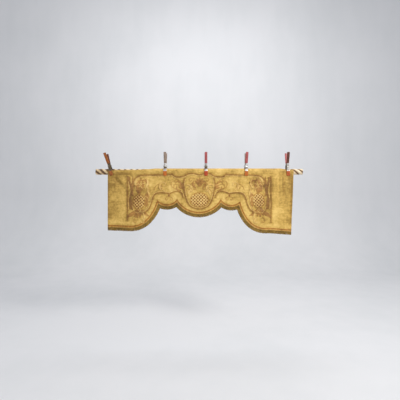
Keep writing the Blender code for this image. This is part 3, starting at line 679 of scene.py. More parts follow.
# %% [markdown]
# ## The silk
# The cloth is one sheet, cut to the shaped edge and turned over the pole at the top. It could be a flat plane
# with a displacement, but the plane would have to be trimmed along the curves and rolled over the pole. So
# it is woven from columns: each one starts at a place on the shaped edge, climbs to the pole, and goes over
# it as far as the heading reaches there. The outer columns are a little thicker, where the side is turned in.

# %% The cloth in one sheet
COLUMN_STEP = 0.007
HEADING_ROWS = 12
HANGING_ROWS = 44
SIDE_HEM = 0.016
SIDE_HEM_RISE = 0.0008
SIDE_HEM_STEP = 0.003

edge_lines = hem_edges(GALLOON_WIDTH)
feet = []
for line in edge_lines:
    feet += along_line(line, even_shares(round(length_of(line) / COLUMN_STEP)))[1 if feet else 0 :]

silk_mesh = bmesh.new()
columns = []
for number, foot in enumerate(feet):
    reach = math.radians(between_rows(HEADING_REACH, foot.x))
    from_side = min(foot.x - LEFT_EDGE, RIGHT_EDGE - foot.x)
    turned_in = SIDE_HEM_RISE * smooth_step((SIDE_HEM - from_side) / SIDE_HEM_STEP)
    sides = []
    for lift in (HALF_CLOTH + turned_in, -HALF_CLOTH):
        over = [heading_place(foot.x, reach * (1 - k / HEADING_ROWS), lift) for k in range(HEADING_ROWS)]
        down = [cloth_place(foot.x, foot.y * k / HANGING_ROWS, lift) for k in range(HANGING_ROWS + 1)]
        sides.append(over + down)
    columns.append(sides[0] + sides[1][::-1])
front_count = len(columns[0]) // 2
loft(silk_mesh, columns, [0 if k < front_count else 1 for k in range(2 * front_count)])
both_sides = (SILKS["silk_face"], SILKS["silk_back"])
silk_cloth = add_piece("silk_cloth", silk_mesh, both_sides, ("ground_cloth",))

# %% [markdown]
# ## The braid on the hem
# The braid that finishes the edge is a galloon, a flat woven band. The photograph shows brown ribs on its
# inner side, a light line along its middle and darker ribs outside. A bevelled curve would make a round
# tube, so the band is lofted instead: a table gives its height at each share of its width, and the ribs swell
# and sink along it as the weave does. The five lengths meet in mitres at the points of the edge.

# %% A ribbed band between two lines
# share of the width, height in millimetres, how much the weave stirs it, finish: brown 0, gold 1, dark 2
GALLOON_PROFILE = (
    (0.00, 0.0, 0.0, 0),
    (0.00, 1.2, 0.0, 0),
    (0.04, 2.0, 0.3, 0),
    (0.13, 2.4, 0.5, 0),
    (0.22, 1.1, 0.1, 0),
    (0.30, 2.3, 0.5, 0),
    (0.40, 2.4, 0.5, 0),
    (0.48, 1.1, 0.1, 1),
    (0.55, 2.5, 0.4, 1),
    (0.68, 2.6, 0.4, 1),
    (0.76, 1.1, 0.1, 2),
    (0.83, 2.2, 0.5, 2),
    (0.92, 2.3, 0.5, 2),
    (1.05, 1.6, 0.0, 2),
    (1.05, 1.1, 0.0, 2),
    (1.00, 0.8, 0.0, 2),
    (1.00, 0.0, 0.0, 2),
)
WEAVE_STEP = 0.0022
WEAVE_STIR = 0.7
RIB_SHIFT = 0.37
MITRE_GAP = 0.0006


def band_between(build_mesh, inner, outer, profile, base=TRIM_GAP, beat=2.0):
    """Adds a band whose cross-section follows the profile from the inner line to the outer one."""
    rings = []
    for k, (near, far) in enumerate(zip(inner, outer)):
        ring = []
        for number, (share, height, stir, _) in enumerate(profile):
            swell = WEAVE_STIR * stir * math.sin(2 * math.pi * (k / (2 * beat) + RIB_SHIFT * number))
            ring.append(on_front(near.lerp(far, share), base + (height + swell) / 1000))
        rings.append(ring)
    loft(build_mesh, rings, [row[3] for row in profile])


braid_finishes = [SILKS[kind] for kind in ("braid_silk", "braid_gold_thread", "dark_braid_silk")]
for place, inner, outer in zip(HEM_PLACES, hem_edges(0.0), hem_edges(GALLOON_WIDTH)):
    shares = even_shares(round(length_of(outer) / WEAVE_STEP))
    braid_mesh = bmesh.new()
    edges = [along_line(line, shares, MITRE_GAP) for line in (inner, outer)]
    band_between(braid_mesh, *edges, GALLOON_PROFILE)
    braid = add_piece(f"hem_braid_{place}", braid_mesh, braid_finishes, (f"galloon_{place}",))

# %% [markdown]
# ## The fringe
# Below the braid hangs a short dense fringe of silk threads, darkened with age and clumped into locks. Hair
# particles would be the usual tool, but they can't ride on the model or be measured. So each thread is a thin
# three-sided tube that tapers and wanders a little. The threads of one lock lean towards each other, and
# every so often one has worn short.

# %% Threads in locks
THREAD_PITCH = 0.0011
THREAD_RADIUS = 0.00090
THREAD_END_GAP = 0.0003
THREAD_PARTS = 3
THREAD_TAPER = 0.45
THREAD_ROWS = (-0.0009, 0.0, 0.0009)
THREAD_STRAY = 0.0004
THREAD_SWAY = 0.0010
WHOLE_LENGTHS = (0.94, 1.14)
WORN_LENGTHS = (0.55, 0.80)
WORN_SHARE = 0.05
LOCK_GATHER = 0.30
ROOT_OVERLAP = 0.0006
HEADER_PROFILE = (
    (0.00, -1.1, 0.0, 0),
    (0.00, 1.0, 0.3, 0),
    (0.35, 1.5, 0.4, 0),
    (0.70, 1.1, 0.4, 0),
    (1.00, 1.2, 0.2, 0),
    (1.00, -1.1, 0.0, 0),
)


def add_thread(build_mesh, start, end, depth, sway):
    """A tapering thread from start to end, bowed sideways by sway, depth behind the fringe's middle."""
    along = (end - start).normalized()
    across = Vector((along.y, -along.x))
    rings = []
    for part in range(THREAD_PARTS + 1):
        share = part / THREAD_PARTS
        flat = start.lerp(end, share) + across * sway * math.sin(math.pi * share)
        radius = THREAD_RADIUS * (1.0 - THREAD_TAPER * share)
        ring = []
        for angle in (0.5, 2.6, 4.7):
            side = flat + across * radius * math.cos(angle)
            ring.append(cloth_place(side.x, side.y, -depth + radius * math.sin(angle)))
        rings.append(ring)
    loft(build_mesh, rings)


random.seed(11)
header_edge = GALLOON_WIDTH + TRIM_GAP + HEADER_WIDTH
fringe_edges = zip(
    HEM_PLACES,
    hem_edges(GALLOON_WIDTH + TRIM_GAP),
    hem_edges(header_edge - ROOT_OVERLAP),
    hem_edges(header_edge + LOCK_LENGTH),
)
for place, top_edge, root_edge, tip_edge in fringe_edges:
    fringe_mesh = bmesh.new()
    shares = even_shares(round(length_of(root_edge) / WEAVE_STEP))
    header = [along_line(line, shares, THREAD_END_GAP) for line in (top_edge, root_edge)]
    band_between(fringe_mesh, *header, HEADER_PROFILE, -HALF_CLOTH)
    lock_count = round(length_of(root_edge) / LOCK_PITCH)
    lock_shares = [(k + 0.5) / lock_count for k in range(lock_count)]
    lock_tips = along_line(tip_edge, lock_shares, THREAD_END_GAP)
    count = round(length_of(root_edge) / THREAD_PITCH)
    thread_shares = [(k + 0.5) / count for k in range(count)]
    roots = along_line(root_edge, thread_shares, THREAD_END_GAP)
    tips = along_line(tip_edge, thread_shares, THREAD_END_GAP)
    for share, root, tip in zip(thread_shares, roots, tips):
        lock = min(lock_count - 1, int(share * lock_count))
        gather = LOCK_GATHER if 0 < lock < lock_count - 1 else 0.0
        for depth in THREAD_ROWS:
            lengths = WHOLE_LENGTHS if random.random() > WORN_SHARE else WORN_LENGTHS
            worn = random.uniform(*lengths)
            leaning = tip.lerp(lock_tips[lock], random.uniform(0.0, gather))
            behind = depth + random.uniform(-THREAD_STRAY, THREAD_STRAY)
            sway = random.uniform(-THREAD_SWAY, THREAD_SWAY)
            add_thread(fringe_mesh, root, root.lerp(leaning, worn), behind, sway)
    finishes = (SILKS["fringe_thread"],)
    fringe = add_piece(f"thread_fringe_{place}", fringe_mesh, finishes, (f"fringe_{place}",))
    print(place, "fringe:", len(THREAD_ROWS) * count, "threads")

# %% [markdown]
# ## The strapwork
# The brown lines that enclose the field are a gimp: two twisted cords with a row of satin stitch between
# them. They could be drawn in the material, but seen from the side they stand off the cloth and catch the
# light. The same lofting helper makes them. Each cord is a ridge that swells and sinks in step, which reads
# as its twist.

# %% Gimp straps
# the finishes of the ornament, and the millimetres that the crown of each is raised by
BROWN, PATCH, LIGHT, LEAF, PALE = range(5)
LAYERS = (0.5, 0.0, 0.0, 0.0, 2.0)
# share of the width, height in millimetres, how much the weave stirs it, finish: brown 0, leaf 3
GIMP_PROFILE = (
    (0.00, 0.0, 0.0, 0),
    (0.00, 0.9, 0.1, 0),
    (0.10, 2.1, 0.5, 0),
    (0.22, 2.4, 0.5, 0),
    (0.34, 1.1, 0.1, 0),
    (0.50, 1.5, 0.3, 3),
    (0.66, 1.1, 0.1, 0),
    (0.78, 2.4, 0.5, 0),
    (0.90, 2.1, 0.5, 0),
    (1.00, 0.9, 0.1, 0),
    (1.00, 0.0, 0.0, 0),
)
STRIP_BEAT = 1.5
HOSTED = {}


def add_strip(build_mesh, line, halves, profile, base=TRIM_GAP):
    """A strip along the line with its own half width at each place."""
    one_metre_out = moved_out(line, 1.0)
    rows = list(zip(line, one_metre_out, halves))
    edges = [[near.lerp(far, way * half) for near, far, half in rows] for way in (-1, 1)]
    band_between(build_mesh, *edges, profile, base, STRIP_BEAT)


def laid_over(profile, finish):
    """The profile in one finish, with its crown raised so that light work lies over brown work."""
    rows = []
    for share, height, stir in profile:
        raised = height + LAYERS[finish] if height else 0.0
        rows.append((share, raised, stir, finish))
    return rows


for name, points in STRAP_LINES.items():
    width = BORDER_WIDTH if name.startswith("border") else STRAP_WIDTH
    HOSTED[name] = bmesh.new()
    line = curve_through(points, WEAVE_STEP)
    add_strip(HOSTED[name], line, [width / 2] * len(line), GIMP_PROFILE)
print("gimp:", round(sum(length_of(curve_through(line, 0.01)) for line in STRAP_LINES.values()), 2), "m")

# %% [markdown]
# ## The medallions
# Each medallion is an oval of brown silk with a raised cord round it. Light cords cross over it in diamonds,
# and a small knot ties each crossing down. The lattice could be a pattern in the material, but the cords cast
# shadows on the brown silk, and that is what makes the diamonds read from a distance. So every cord is a
# half-round strip, cut off where it meets the rim.

# %% An oval patch with its rim and lattice
RIM_WIDTH = 0.010
# share of the rim's width from its middle, height in millimetres, how much the twist stirs it
RIM_PROFILE = (
    (-0.5, 1.6, 0.0),
    (-0.3, 2.8, 0.4),
    (-0.05, 3.0, 0.4),
    (0.08, 1.9, 0.0),
    (0.26, 2.7, 0.4),
    (0.44, 1.6, 0.2),
    (0.5, 0.0, 0.0),
)
RIM_BEAT = 3
PATCH_HEIGHT = 0.0018
DOME_RISE = 0.0012
DOME_SHARES = (0.2, 0.45, 0.7, 0.88)
BACK_SHARE = 0.9
OVAL_STEPS = 132
LATTICE_PITCH = 0.0190
LATTICE_WIDTH = 0.0058
LATTICE_STEP = 0.0020
LATTICE_STEPS = 80
LATTICE_COVER = 0.35
SHORTEST_CORD = 6
UPPER_CORD_RISE = 0.0005
TIED_WITHIN = 0.85
CORD_PROFILE = (
    (0.0, 0.0, 0.0), (0.08, 1.0, 0.2), (0.30, 1.8, 0.3), (0.70, 1.8, 0.3), (0.92, 1.0, 0.2), (1.0, 0.0, 0.0),
)
CORD_END = 0.004
KNOT_RADIUS = 0.0022
KNOT_HEIGHT = 0.0018
KNOT_BASE = 0.0014
KNOT_RINGS = ((1.0, 0.0), (0.85, 0.55), (0.45, 0.92))
KNOT_SIDES = 8


def turned(point, degrees, centre):
    """A flat point turned about the origin and moved to centre."""
    return Matrix.Rotation(math.radians(degrees), 2) @ Vector(point) + Vector(centre)


def add_knot(build_mesh, flat, radius, height, base, finish=BROWN):
    """A small round knot on the cloth."""
    angles = [2 * math.pi * k / KNOT_SIDES for k in range(KNOT_SIDES)]
    round_ring = [Vector((math.cos(a), math.sin(a))) * radius for a in angles]
    rings = []
    for share, rise in KNOT_RINGS:
        rings.append([on_front(flat + place * share, base + height * rise) for place in round_ring])
    loft(build_mesh, rings, [finish] * KNOT_SIDES, finish)


def add_oval_patch(build_mesh, centre, half_width, half_height, lean):
    """The silk patch, a shallow dome from its middle to the rim, and the rim's two twisted cords."""

    def oval_row(grow, share, height, stir=0.0, number=0):
        row = []
        for k in range(OVAL_STEPS):
            angle = 2 * math.pi * k / OVAL_STEPS
            across = (half_width + grow) * share * math.cos(angle)
            up = (half_height + grow) * share * math.sin(angle)
            twist = stir * math.sin(2 * math.pi * k / RIM_BEAT + 1.1 * number) / 1000
            row.append(on_front(turned((across, up), lean, centre), TRIM_GAP + height + twist))
        return row

    bulges = [PATCH_HEIGHT + DOME_RISE * (1 - share * share) for share in DOME_SHARES]
    dome = [oval_row(-RIM_WIDTH / 2, share, bulge) for share, bulge in zip(DOME_SHARES, bulges)]
    rim = [oval_row(row[0] * RIM_WIDTH, 1.0, row[1] / 1000, row[2], k) for k, row in enumerate(RIM_PROFILE)]
    back = oval_row(0.0, BACK_SHARE, 0.0)
    rows = [[build_mesh.verts.new(point) for point in row] for row in dome + rim + [back]]
    for number, (near, far) in enumerate(zip(rows, rows[1:])):
        join_rows(build_mesh, near, far, [PATCH if number < len(dome) else BROWN] * OVAL_STEPS)
    hub = build_mesh.verts.new(on_front(Vector(centre), TRIM_GAP + PATCH_HEIGHT + DOME_RISE))
    for k in range(OVAL_STEPS):
        build_mesh.faces.new((rows[0][k - 1], rows[0][k], hub)).material_index = PATCH
    build_mesh.faces.new(rows[-1])


def rounded_halves(line, width):
    """Half widths that round both ends of a cord over their last few millimetres."""
    whole = length_of(line)
    count = len(line) - 1
    from_ends = [min(k, count - k) / count * whole / CORD_END for k in range(count + 1)]
    return [width / 2 * math.sqrt(max(0.04, 1.0 - max(0.0, 1.0 - share) ** 2)) for share in from_ends]


def add_lattice(build_mesh, centre, half_width, half_height, lean):
    """Light cords that cross in diamonds inside the rim, tied down where they cross."""

    def out_from_middle(point):
        hidden = RIM_WIDTH * LATTICE_COVER
        return (point.x / (half_width - hidden)) ** 2 + (point.y / (half_height - hidden)) ** 2

    lanes = int(max(half_width, half_height) * 1.5 / LATTICE_PITCH)
    offsets = [(lane + 0.5) * LATTICE_PITCH for lane in range(-lanes, lanes + 1)]
    places = [k * LATTICE_STEP for k in range(-LATTICE_STEPS, LATTICE_STEPS + 1)]
    for tilt, over in ((45.0, 0.0), (-45.0, UPPER_CORD_RISE)):
        for offset in offsets:
            lane = [turned((offset, place), tilt, (0.0, 0.0)) for place in places]
            inside = [turned(point, lean, centre) for point in lane if out_from_middle(point) < 1.0]
            if len(inside) > SHORTEST_CORD:
                halves = rounded_halves(inside, LATTICE_WIDTH)
                profile = laid_over(CORD_PROFILE, LIGHT)
                add_strip(build_mesh, inside, halves, profile, TRIM_GAP + PATCH_HEIGHT + over)
    crossings = [turned((first, second), 45.0, (0.0, 0.0)) for first in offsets for second in offsets]
    tied = [turned(point, lean, centre) for point in crossings if out_from_middle(point) < TIED_WITHIN]
    for flat in tied:
        add_knot(build_mesh, flat, KNOT_RADIUS, KNOT_HEIGHT, TRIM_GAP + PATCH_HEIGHT + KNOT_BASE)
    return len(tied)


for place, oval in MEDALLIONS.items():
    HOSTED[f"medallion_{place}"] = bmesh.new()
    add_oval_patch(HOSTED[f"medallion_{place}"], *oval)
    print(place, "medallion:", add_lattice(HOSTED[f"medallion_{place}"], *oval), "crossings tied down")

# %% [markdown]
# ## The leaves
# Leaf shapes grow from the medallions and the straps. On the real cloth each one is a shape of padded satin
# stitch, higher in the middle of every lobe, with a groove where the veins are couched down. A flat cut-out
# would look like paper. Here a fan of rays runs from the leaf's heart to its outline, and the height along
# each ray comes from how far out it is and how near it lies to a vein.

# %% Padded leaves
LEAF_RISE = 0.0032
LEAF_EDGE = 0.0004
LEAF_ROOT = 0.004
LEAF_RINGS = (1.0, 0.93, 0.80, 0.62, 0.42, 0.22)
LOBE_RAYS = 14
LOBE_CUT = 0.34
LEAF_FOOT = 0.13
LEAF_HEART = 0.16
VEIN_DEPTH = 0.42
VEIN_REACH = 0.09


def leaf_outline(root, length, half_spread, direction, lobes):
    """The leaf's edge as (place, share across its lobe) pairs."""
    outline = []
    rays = lobes * LOBE_RAYS
    for k in range(rays + 1):
        share = k / rays
        angle = math.radians(half_spread) * (1 - 2 * share)
        lobe_share = (share * lobes) % 1.0
        across = abs(lobe_share - 0.5) * 2
        cut_back = 1.0 - LOBE_CUT * across**1.6
        radius = length * cut_back * (0.50 + 0.50 * math.cos(angle * 1.1))
        flat = (-radius * math.sin(angle), radius * math.cos(angle))
        outline.append((turned(flat, direction, root), lobe_share))
    for side in (1, -1):
        outline.append((turned((side * length * LEAF_FOOT, -LEAF_ROOT), direction, root), 0.0))
    return outline


def add_leaf(build_mesh, root, length, half_spread, direction, lobes):
    outline = leaf_outline(root, length, half_spread, direction, lobes)
    heart = turned((0.0, length * LEAF_HEART), direction, root)
    rings = [[on_front(rim, TRIM_GAP) for rim, _ in outline]]
    for share in LEAF_RINGS:
        ring = []
        for rim, lobe_share in outline:
            crown = math.sin(math.pi * lobe_share) ** 0.6 if 0.0 < lobe_share < 1.0 else 0.0
            vein = math.exp(-(((lobe_share - 0.5) / VEIN_REACH) ** 2)) * VEIN_DEPTH
            puff = (1 - share**5) * (0.45 + 0.55 * crown - vein * (1 - share) ** 0.25)
            ring.append(on_front(heart.lerp(rim, share), TRIM_GAP + LEAF_EDGE + LEAF_RISE * puff))
        rings.append(ring)
    loft(build_mesh, rings, [LEAF] * len(outline), LEAF)


HOSTED["palmette"] = bmesh.new()
for host, *shape in LEAVES:
    add_leaf(HOSTED[host], *shape)
print("leaves:", len(LEAVES))

# %% [markdown]
# ## Couched scrolls in the field
# Between the straps the field is filled with small curling stems. They are cord laid on the silk and tied
# down, which embroiderers call couching. These are plain spirals of a general kind, not a copy of the old
# drawing. A stem is walked in small steps, and it turns a little more at each step, so it starts nearly
# straight and ends in a curl with a knot at its heart. The left half mirrors the right.

# %% Stems that curl
SCROLL_WIDTH = 0.0058
SCROLL_STEP = 0.0024
SCROLL_KNOT = (0.0046, 0.0026)
TIGHTENING = 2.1
# root x and z, heading round from straight up, length, turns it makes, finish: brown 0, pale 4
SCROLLS = (
    (0.020, -0.158, -78.0, 0.150, 1.00, 0),
    (0.058, -0.172, -60.0, 0.085, 0.80, 4),
    (0.112, -0.178, 24.0, 0.120, 0.95, 4),
    (0.150, -0.150, -30.0, 0.150, -0.95, 0),
    (0.188, -0.158, -70.0, 0.170, 0.95, 0),
    (0.300, -0.168, -50.0, 0.150, 0.90, 4),
    (0.392, -0.160, 20.0, 0.150, 0.90, 0),
    (0.452, -0.190, 15.0, 0.180, -0.90, 4),
    (0.480, -0.172, 12.0, 0.125, -0.95, 0),
    (0.545, -0.160, -12.0, 0.110, 0.85, 4),
    (0.442, -0.262, 8.0, 0.090, -0.80, 4),
    (0.450, -0.300, 200.0, 0.120, 0.55, 4),
    (0.575, -0.300, 165.0, 0.130, -0.60, 4),
    (0.545, -0.395, 230.0, 0.080, -0.70, 0),
    (0.500, -0.400, 120.0, 0.080, 0.70, 4),
    (0.168, -0.100, -14.0, 0.085, -0.80, 0),
    (0.262, -0.214, -100.0, 0.070, -0.70, 0),
    (0.262, -0.214, 100.0, 0.070, 0.70, 0),
    (0.040, -0.060, -70.0, 0.080, -0.70, 0),
)


def curling(root, heading, length, turns):
    """Places along a stem that turns more and more."""
    count = max(6, round(length / SCROLL_STEP))
    places = [Vector(root)]
    for k in range(count):
        angle = math.radians(heading) + 2 * math.pi * turns * ((k + 0.5) / count) ** TIGHTENING
        places.append(places[-1] + Vector((-math.sin(angle), math.cos(angle))) * length / count)
    return places


def add_cord(build_mesh, places, width, finish):
    add_strip(build_mesh, places, rounded_halves(places, width), laid_over(CORD_PROFILE, finish))


SIDES = ((-1, "left"), (1, "right"))
for side, ending in SIDES:
    ground = HOSTED[f"lower_strap_{ending}"]
    for root_x, root_z, heading, length, turns, finish in SCROLLS:
        places = curling((side * root_x, root_z), side * heading, length, side * turns)
        add_cord(ground, places, SCROLL_WIDTH, finish)
        add_knot(ground, places[-1], *SCROLL_KNOT, TRIM_GAP, finish)
print("scrolls:", 2 * len(SCROLLS))

# %% [markdown]
# ## Curved leaf blades
# Round the side medallions the ornament grows thick with long curved leaves. Each is a blade of satin stitch
# that follows a curling stem, widest near its middle and pointed at its tip, with a groove where the two
# sides of the stitching meet. It reuses the stems and the lofted band, with a width that changes along it.

# %% Blades along a curling line
BLADE_POINT = 0.0006
# share of the width, height in millimetres, how much the weave stirs it
BLADE_PROFILE = (
    (0.00, 0.0, 0.0), (0.00, 0.6, 0.0), (0.14, 2.0, 0.2), (0.36, 2.7, 0.2), (0.50, 1.5, 0.0),
    (0.64, 2.7, 0.2), (0.86, 2.0, 0.2), (1.00, 0.6, 0.0), (1.00, 0.0, 0.0),
)
# solid it grows from, root x and z, heading, length, turns, width, finish: leaf 3, pale 4
BLADES = (
    ("side_band", 0.582, -0.138, -22.0, 0.108, 0.02, 0.018, 3),
    ("side_band", 0.588, -0.205, 10.0, 0.165, -0.05, 0.020, 3),
    ("side_band", 0.574, -0.335, -16.0, 0.150, 0.07, 0.026, 3),
    ("side_band", 0.562, -0.345, -128.0, 0.088, -0.08, 0.022, 3),
    ("side_band", 0.607, -0.330, -4.0, 0.100, 0.03, 0.012, 4),
    ("medallion", 0.458, -0.305, 4.0, 0.120, 0.08, 0.032, 3),
    ("medallion", 0.470, -0.225, 36.0, 0.075, -0.12, 0.022, 3),
    ("medallion", 0.566, -0.215, -26.0, 0.070, 0.14, 0.020, 3),
    ("medallion", 0.498, -0.330, 140.0, 0.085, -0.10, 0.022, 3),
    ("medallion", 0.540, -0.330, 216.0, 0.092, 0.10, 0.022, 3),
    ("medallion", 0.486, -0.345, 160.0, 0.080, 0.06, 0.012, 4),
    ("medallion", 0.520, -0.172, 44.0, 0.062, -0.16, 0.024, 3),
    ("medallion", 0.522, -0.172, -44.0, 0.062, 0.16, 0.024, 3),
    ("medallion", 0.430, -0.215, -14.0, 0.075, 0.10, 0.012, 4),
    ("lower_strap", 0.468, -0.150, 34.0, 0.110, -0.32, 0.014, 4),
    ("lower_strap", 0.440, -0.128, -16.0, 0.090, -0.30, 0.014, 3),
    ("lower_strap", 0.538, -0.172, 6.0, 0.125, 0.14, 0.030, 3),
    ("lower_strap", 0.508, -0.170, 26.0, 0.100, -0.16, 0.026, 3),
    ("lower_strap", 0.552, -0.110, 10.0, 0.085, 0.30, 0.012, 4),
    ("lower_strap", 0.500, -0.078, 84.0, 0.080, 0.26, 0.014, 3),
    ("lower_strap", 0.330, -0.160, -30.0, 0.070, 0.30, 0.012, 4),
    ("cartouche_strap", 0.026, -0.146, -50.0, 0.082, 0.32, 0.016, 3),
    ("cartouche_strap", 0.060, -0.150, -24.0, 0.075, -0.34, 0.013, 4),
    ("cartouche_strap", 0.098, -0.205, 16.0, 0.080, 0.22, 0.014, 4),
    ("cartouche_strap", 0.150, -0.112, -36.0, 0.062, -0.30, 0.015, 3),
    ("cartouche_strap", 0.156, -0.168, -78.0, 0.062, 0.30, 0.014, 3),
)


def add_blade(build_mesh, places, width, finish):
    count = len(places) - 1
    swell = [math.sin(math.pi * min(1.0, (k + 0.2) / (count + 0.4)) ** 0.75) ** 0.8 for k in range(count + 1)]
    halves = [BLADE_POINT + width / 2 * share for share in swell]
    add_strip(build_mesh, places, halves, laid_over(BLADE_PROFILE, finish))


for side, ending in SIDES:
    for host, root_x, root_z, heading, length, turns, width, finish in BLADES:
        places = curling((side * root_x, root_z), side * heading, length, side * turns)
        name = host if host in HOSTED else f"{host}_{ending}"
        add_blade(HOSTED[name], places, width, finish)
print("blades:", 2 * len(BLADES))

# %% [markdown]
# ## Light lines beside the straps
# In the photograph the straps have a bright line on their inner side. It is a gold cord couched against the
# gimp. It costs one more strip along the same line, moved over by the width of the strap. The cut ends of a
# strap would fray, so a small boss of cord is sewn over each one.

# %% Gold cord along the gimp, and the finished ornament
GOLD_CORD_WIDTH = 0.0048
CORD_OFFSET = 0.0096
BOSS = (0.0074, 0.0040)
# 1 is the right side of the line's direction
INNER_SIDES = {
    "upper_strap": 1,
    "lower_strap_left": 1,
    "lower_strap_right": -1,
    "cartouche_strap": -1,
    "side_band_left": 1,
    "side_band_right": -1,
}
for name, side in INNER_SIDES.items():
    points = STRAP_LINES[name]
    line = moved_out(curve_through(points, WEAVE_STEP), side * CORD_OFFSET)
    add_cord(HOSTED[name], line, GOLD_CORD_WIDTH, LIGHT)
    for end in points[0], points[-1]:
        add_knot(HOSTED[name], Vector(end), *BOSS, TRIM_GAP)

ornament_silks = ("brown_cord", "patch_silk", "light_cord", "satin_stitch", "pale_cord")
ornament_finishes = [SILKS[kind] for kind in ornament_silks]
for name, build_mesh in HOSTED.items():
    add_piece(f"sewn_{name}", build_mesh, ornament_finishes, (name,))

# %% [markdown]
# ## Stitches of the side hems
# The sides of the cloth are turned in and sewn with a running stitch. A dashed line in the material would be
# flat, so each stitch is a small half-round bar of thread on the fold's edge.

# %% Running stitches
STITCH_PITCH = 0.0085
STITCH_LENGTH = 0.0050
STITCH_WIDTH = 0.0014
STITCH_INSET = 0.002
STITCH_TOP = -0.045
STITCH_PROFILE = (
    (0.0, 0.0, 0.0, 0), (0.15, 0.5, 0.0, 0), (0.5, 0.9, 0.0, 0), (0.85, 0.5, 0.0, 0), (1.0, 0.0, 0.0, 0),
)
stitch_mesh = bmesh.new()
stitch_tops = []
inset = SIDE_HEM - STITCH_INSET
for seam_x, low in ((LEFT_EDGE + inset, -0.452), (RIGHT_EDGE - inset, -0.490)):
    for k in range(int((STITCH_TOP - low) / STITCH_PITCH)):
        stitch_tops.append(Vector((seam_x, STITCH_TOP - k * STITCH_PITCH)))
for top in stitch_tops:
    stitch = [top + Vector((0.0, -STITCH_LENGTH * share / 4)) for share in range(5)]
    add_strip(stitch_mesh, stitch, [STITCH_WIDTH / 2] * 5, STITCH_PROFILE, SIDE_HEM_RISE)
add_piece("side_hem_stitches", stitch_mesh, (SILKS["braid_gold_thread"],))
print("stitches:", len(stitch_tops))

# %% [markdown]
# ## The pole
# The pole is carved wood, painted cream, with three strands that wind round it like a rope. The paint is
# worn and its colour is darker in the grooves. A twist modifier could wind three cylinders, but they would
# cut into each other. Here the radius is a function of the angle and the place along the pole, and the
# grooves come out sharp and the strands round. The paint's colour is read from the distance to the pole's
# axis, so the darkening follows the carving wherever it goes. The two cut ends are bare softwood with its
# yearly rings.

# %% The carved pole
POLE_STEP = 0.0036
POLE_SIDES = 60
POLE_END_ROUND = 0.003
POLE_END_EASE = 0.0012
STRAND_ROUND = 0.55
YEAR_RING = 0.0026
GROOVE_DARK_SHARE = 0.70


def bare_end_grain():
    made, tree, place = new_finish("bare_end_grain")
    rings = waves(tree, place, YEAR_RING, 2.5, 0.4, wave_type="RINGS", rings_direction="X")
    worn = cloudy(tree, place, 0.008, 4.0)
    grain = sum_of(tree, (rings, 0.45), (worn, 0.55))
    colour = colour_of(tree, grain, 0.15, 0.85, ((0.0, dye(164, 122, 76)), (1.0, dye(226, 198, 152))))
    return surfaced(made, colour, fitted(tree, worn, 0.3, 0.7, 0.84, 0.66), grain, 0.6, 0.0004)


def painted_wood():
    made, tree, place = new_finish("painted_rope_twist")
    flat = add_node(tree, "ShaderNodeMapping", {"Vector": place, "Scale": (0.0, 1.0, 1.0)}).outputs[0]
    radius = add_node(tree, "ShaderNodeVectorMath", {0: flat}, operation="LENGTH").outputs["Value"]
    carved = fitted(tree, radius, POLE_RADIUS - GROOVE_DARK_SHARE * POLE_GROOVE, POLE_RADIUS - 0.0002, 0.0, 1.0)
    worn = cloudy(tree, place, 0.010, 5.0)
    grain = cloudy(tree, place, 0.004, 3.0, (0.12, 1.0, 1.0))
    aged = sum_of(tree, (carved, 1.0), (worn, 0.55), (grain, 0.25), (tone_of(tree), 0.40))
    stops = (
        (0.0, dye(84, 62, 40)),
        (0.34, dye(134, 90, 46)),
        (0.58, dye(216, 190, 146)),
        (1.0, dye(240, 224, 196)),
    )
    relief = sum_of(tree, (worn, 0.6), (grain, 0.5))
    gloss = fitted(tree, worn, 0.3, 0.7, 0.58, 0.36)
    return surfaced(made, colour_of(tree, aged, 0.45, 1.55, stops), gloss, relief, 0.6, 0.0006)


pole_mesh = bmesh.new()
pole_rings = []
ring_count = round(2 * POLE_HALF_LENGTH / POLE_STEP)
for k in range(ring_count + 1):
    x = -POLE_HALF_LENGTH + 2 * POLE_HALF_LENGTH * k / ring_count
    from_end = POLE_HALF_LENGTH - abs(x)
    eased = POLE_END_EASE * max(0.0, 1 - from_end / POLE_END_ROUND)
    ring = []
    for side in range(POLE_SIDES):
        angle = 2 * math.pi * side / POLE_SIDES
        strand_share = ((angle / (2 * math.pi) - x / POLE_LAY) * POLE_STRANDS) % 1.0
        dip = POLE_GROOVE * (1.0 - math.sin(math.pi * strand_share) ** STRAND_ROUND)
        radius = POLE_RADIUS - dip - eased
        ring.append(Vector((x, radius * math.cos(angle), radius * math.sin(angle))))
    pole_rings.append(ring)
loft(pole_mesh, pole_rings)
pole_mesh.faces.ensure_lookup_table()
for cut_end in pole_mesh.faces[-2:]:
    cut_end.material_index = 1
pole_finishes = (painted_wood(), bare_end_grain())
carved_pole = add_piece("carved_pole", pole_mesh, pole_finishes, ("pole",), 60.0)
print("pole:", len(carved_pole.data.polygons), "faces")

# %% [markdown]
# ## The clamps
# Five sprung clamps hold the cloth on the pole. Each has two pressed steel levers on a pin, a coil spring
# that pushes the handles apart, and dipped vinyl over the jaws and the handles. Primitive cubes would show
# none of that, so a lever is lofted along a bent line with its corners softened, and a pressed rib stands out
# along its middle. The vinyl is a rounded sleeve with a real open mouth.

# %% The numbers of a clamp
STRAP_THICKNESS = 0.002
STRAP_CROWN = 0.0004
STRAP_STAND = TRIM_GAP + STRAP_THICKNESS + STRAP_CROWN
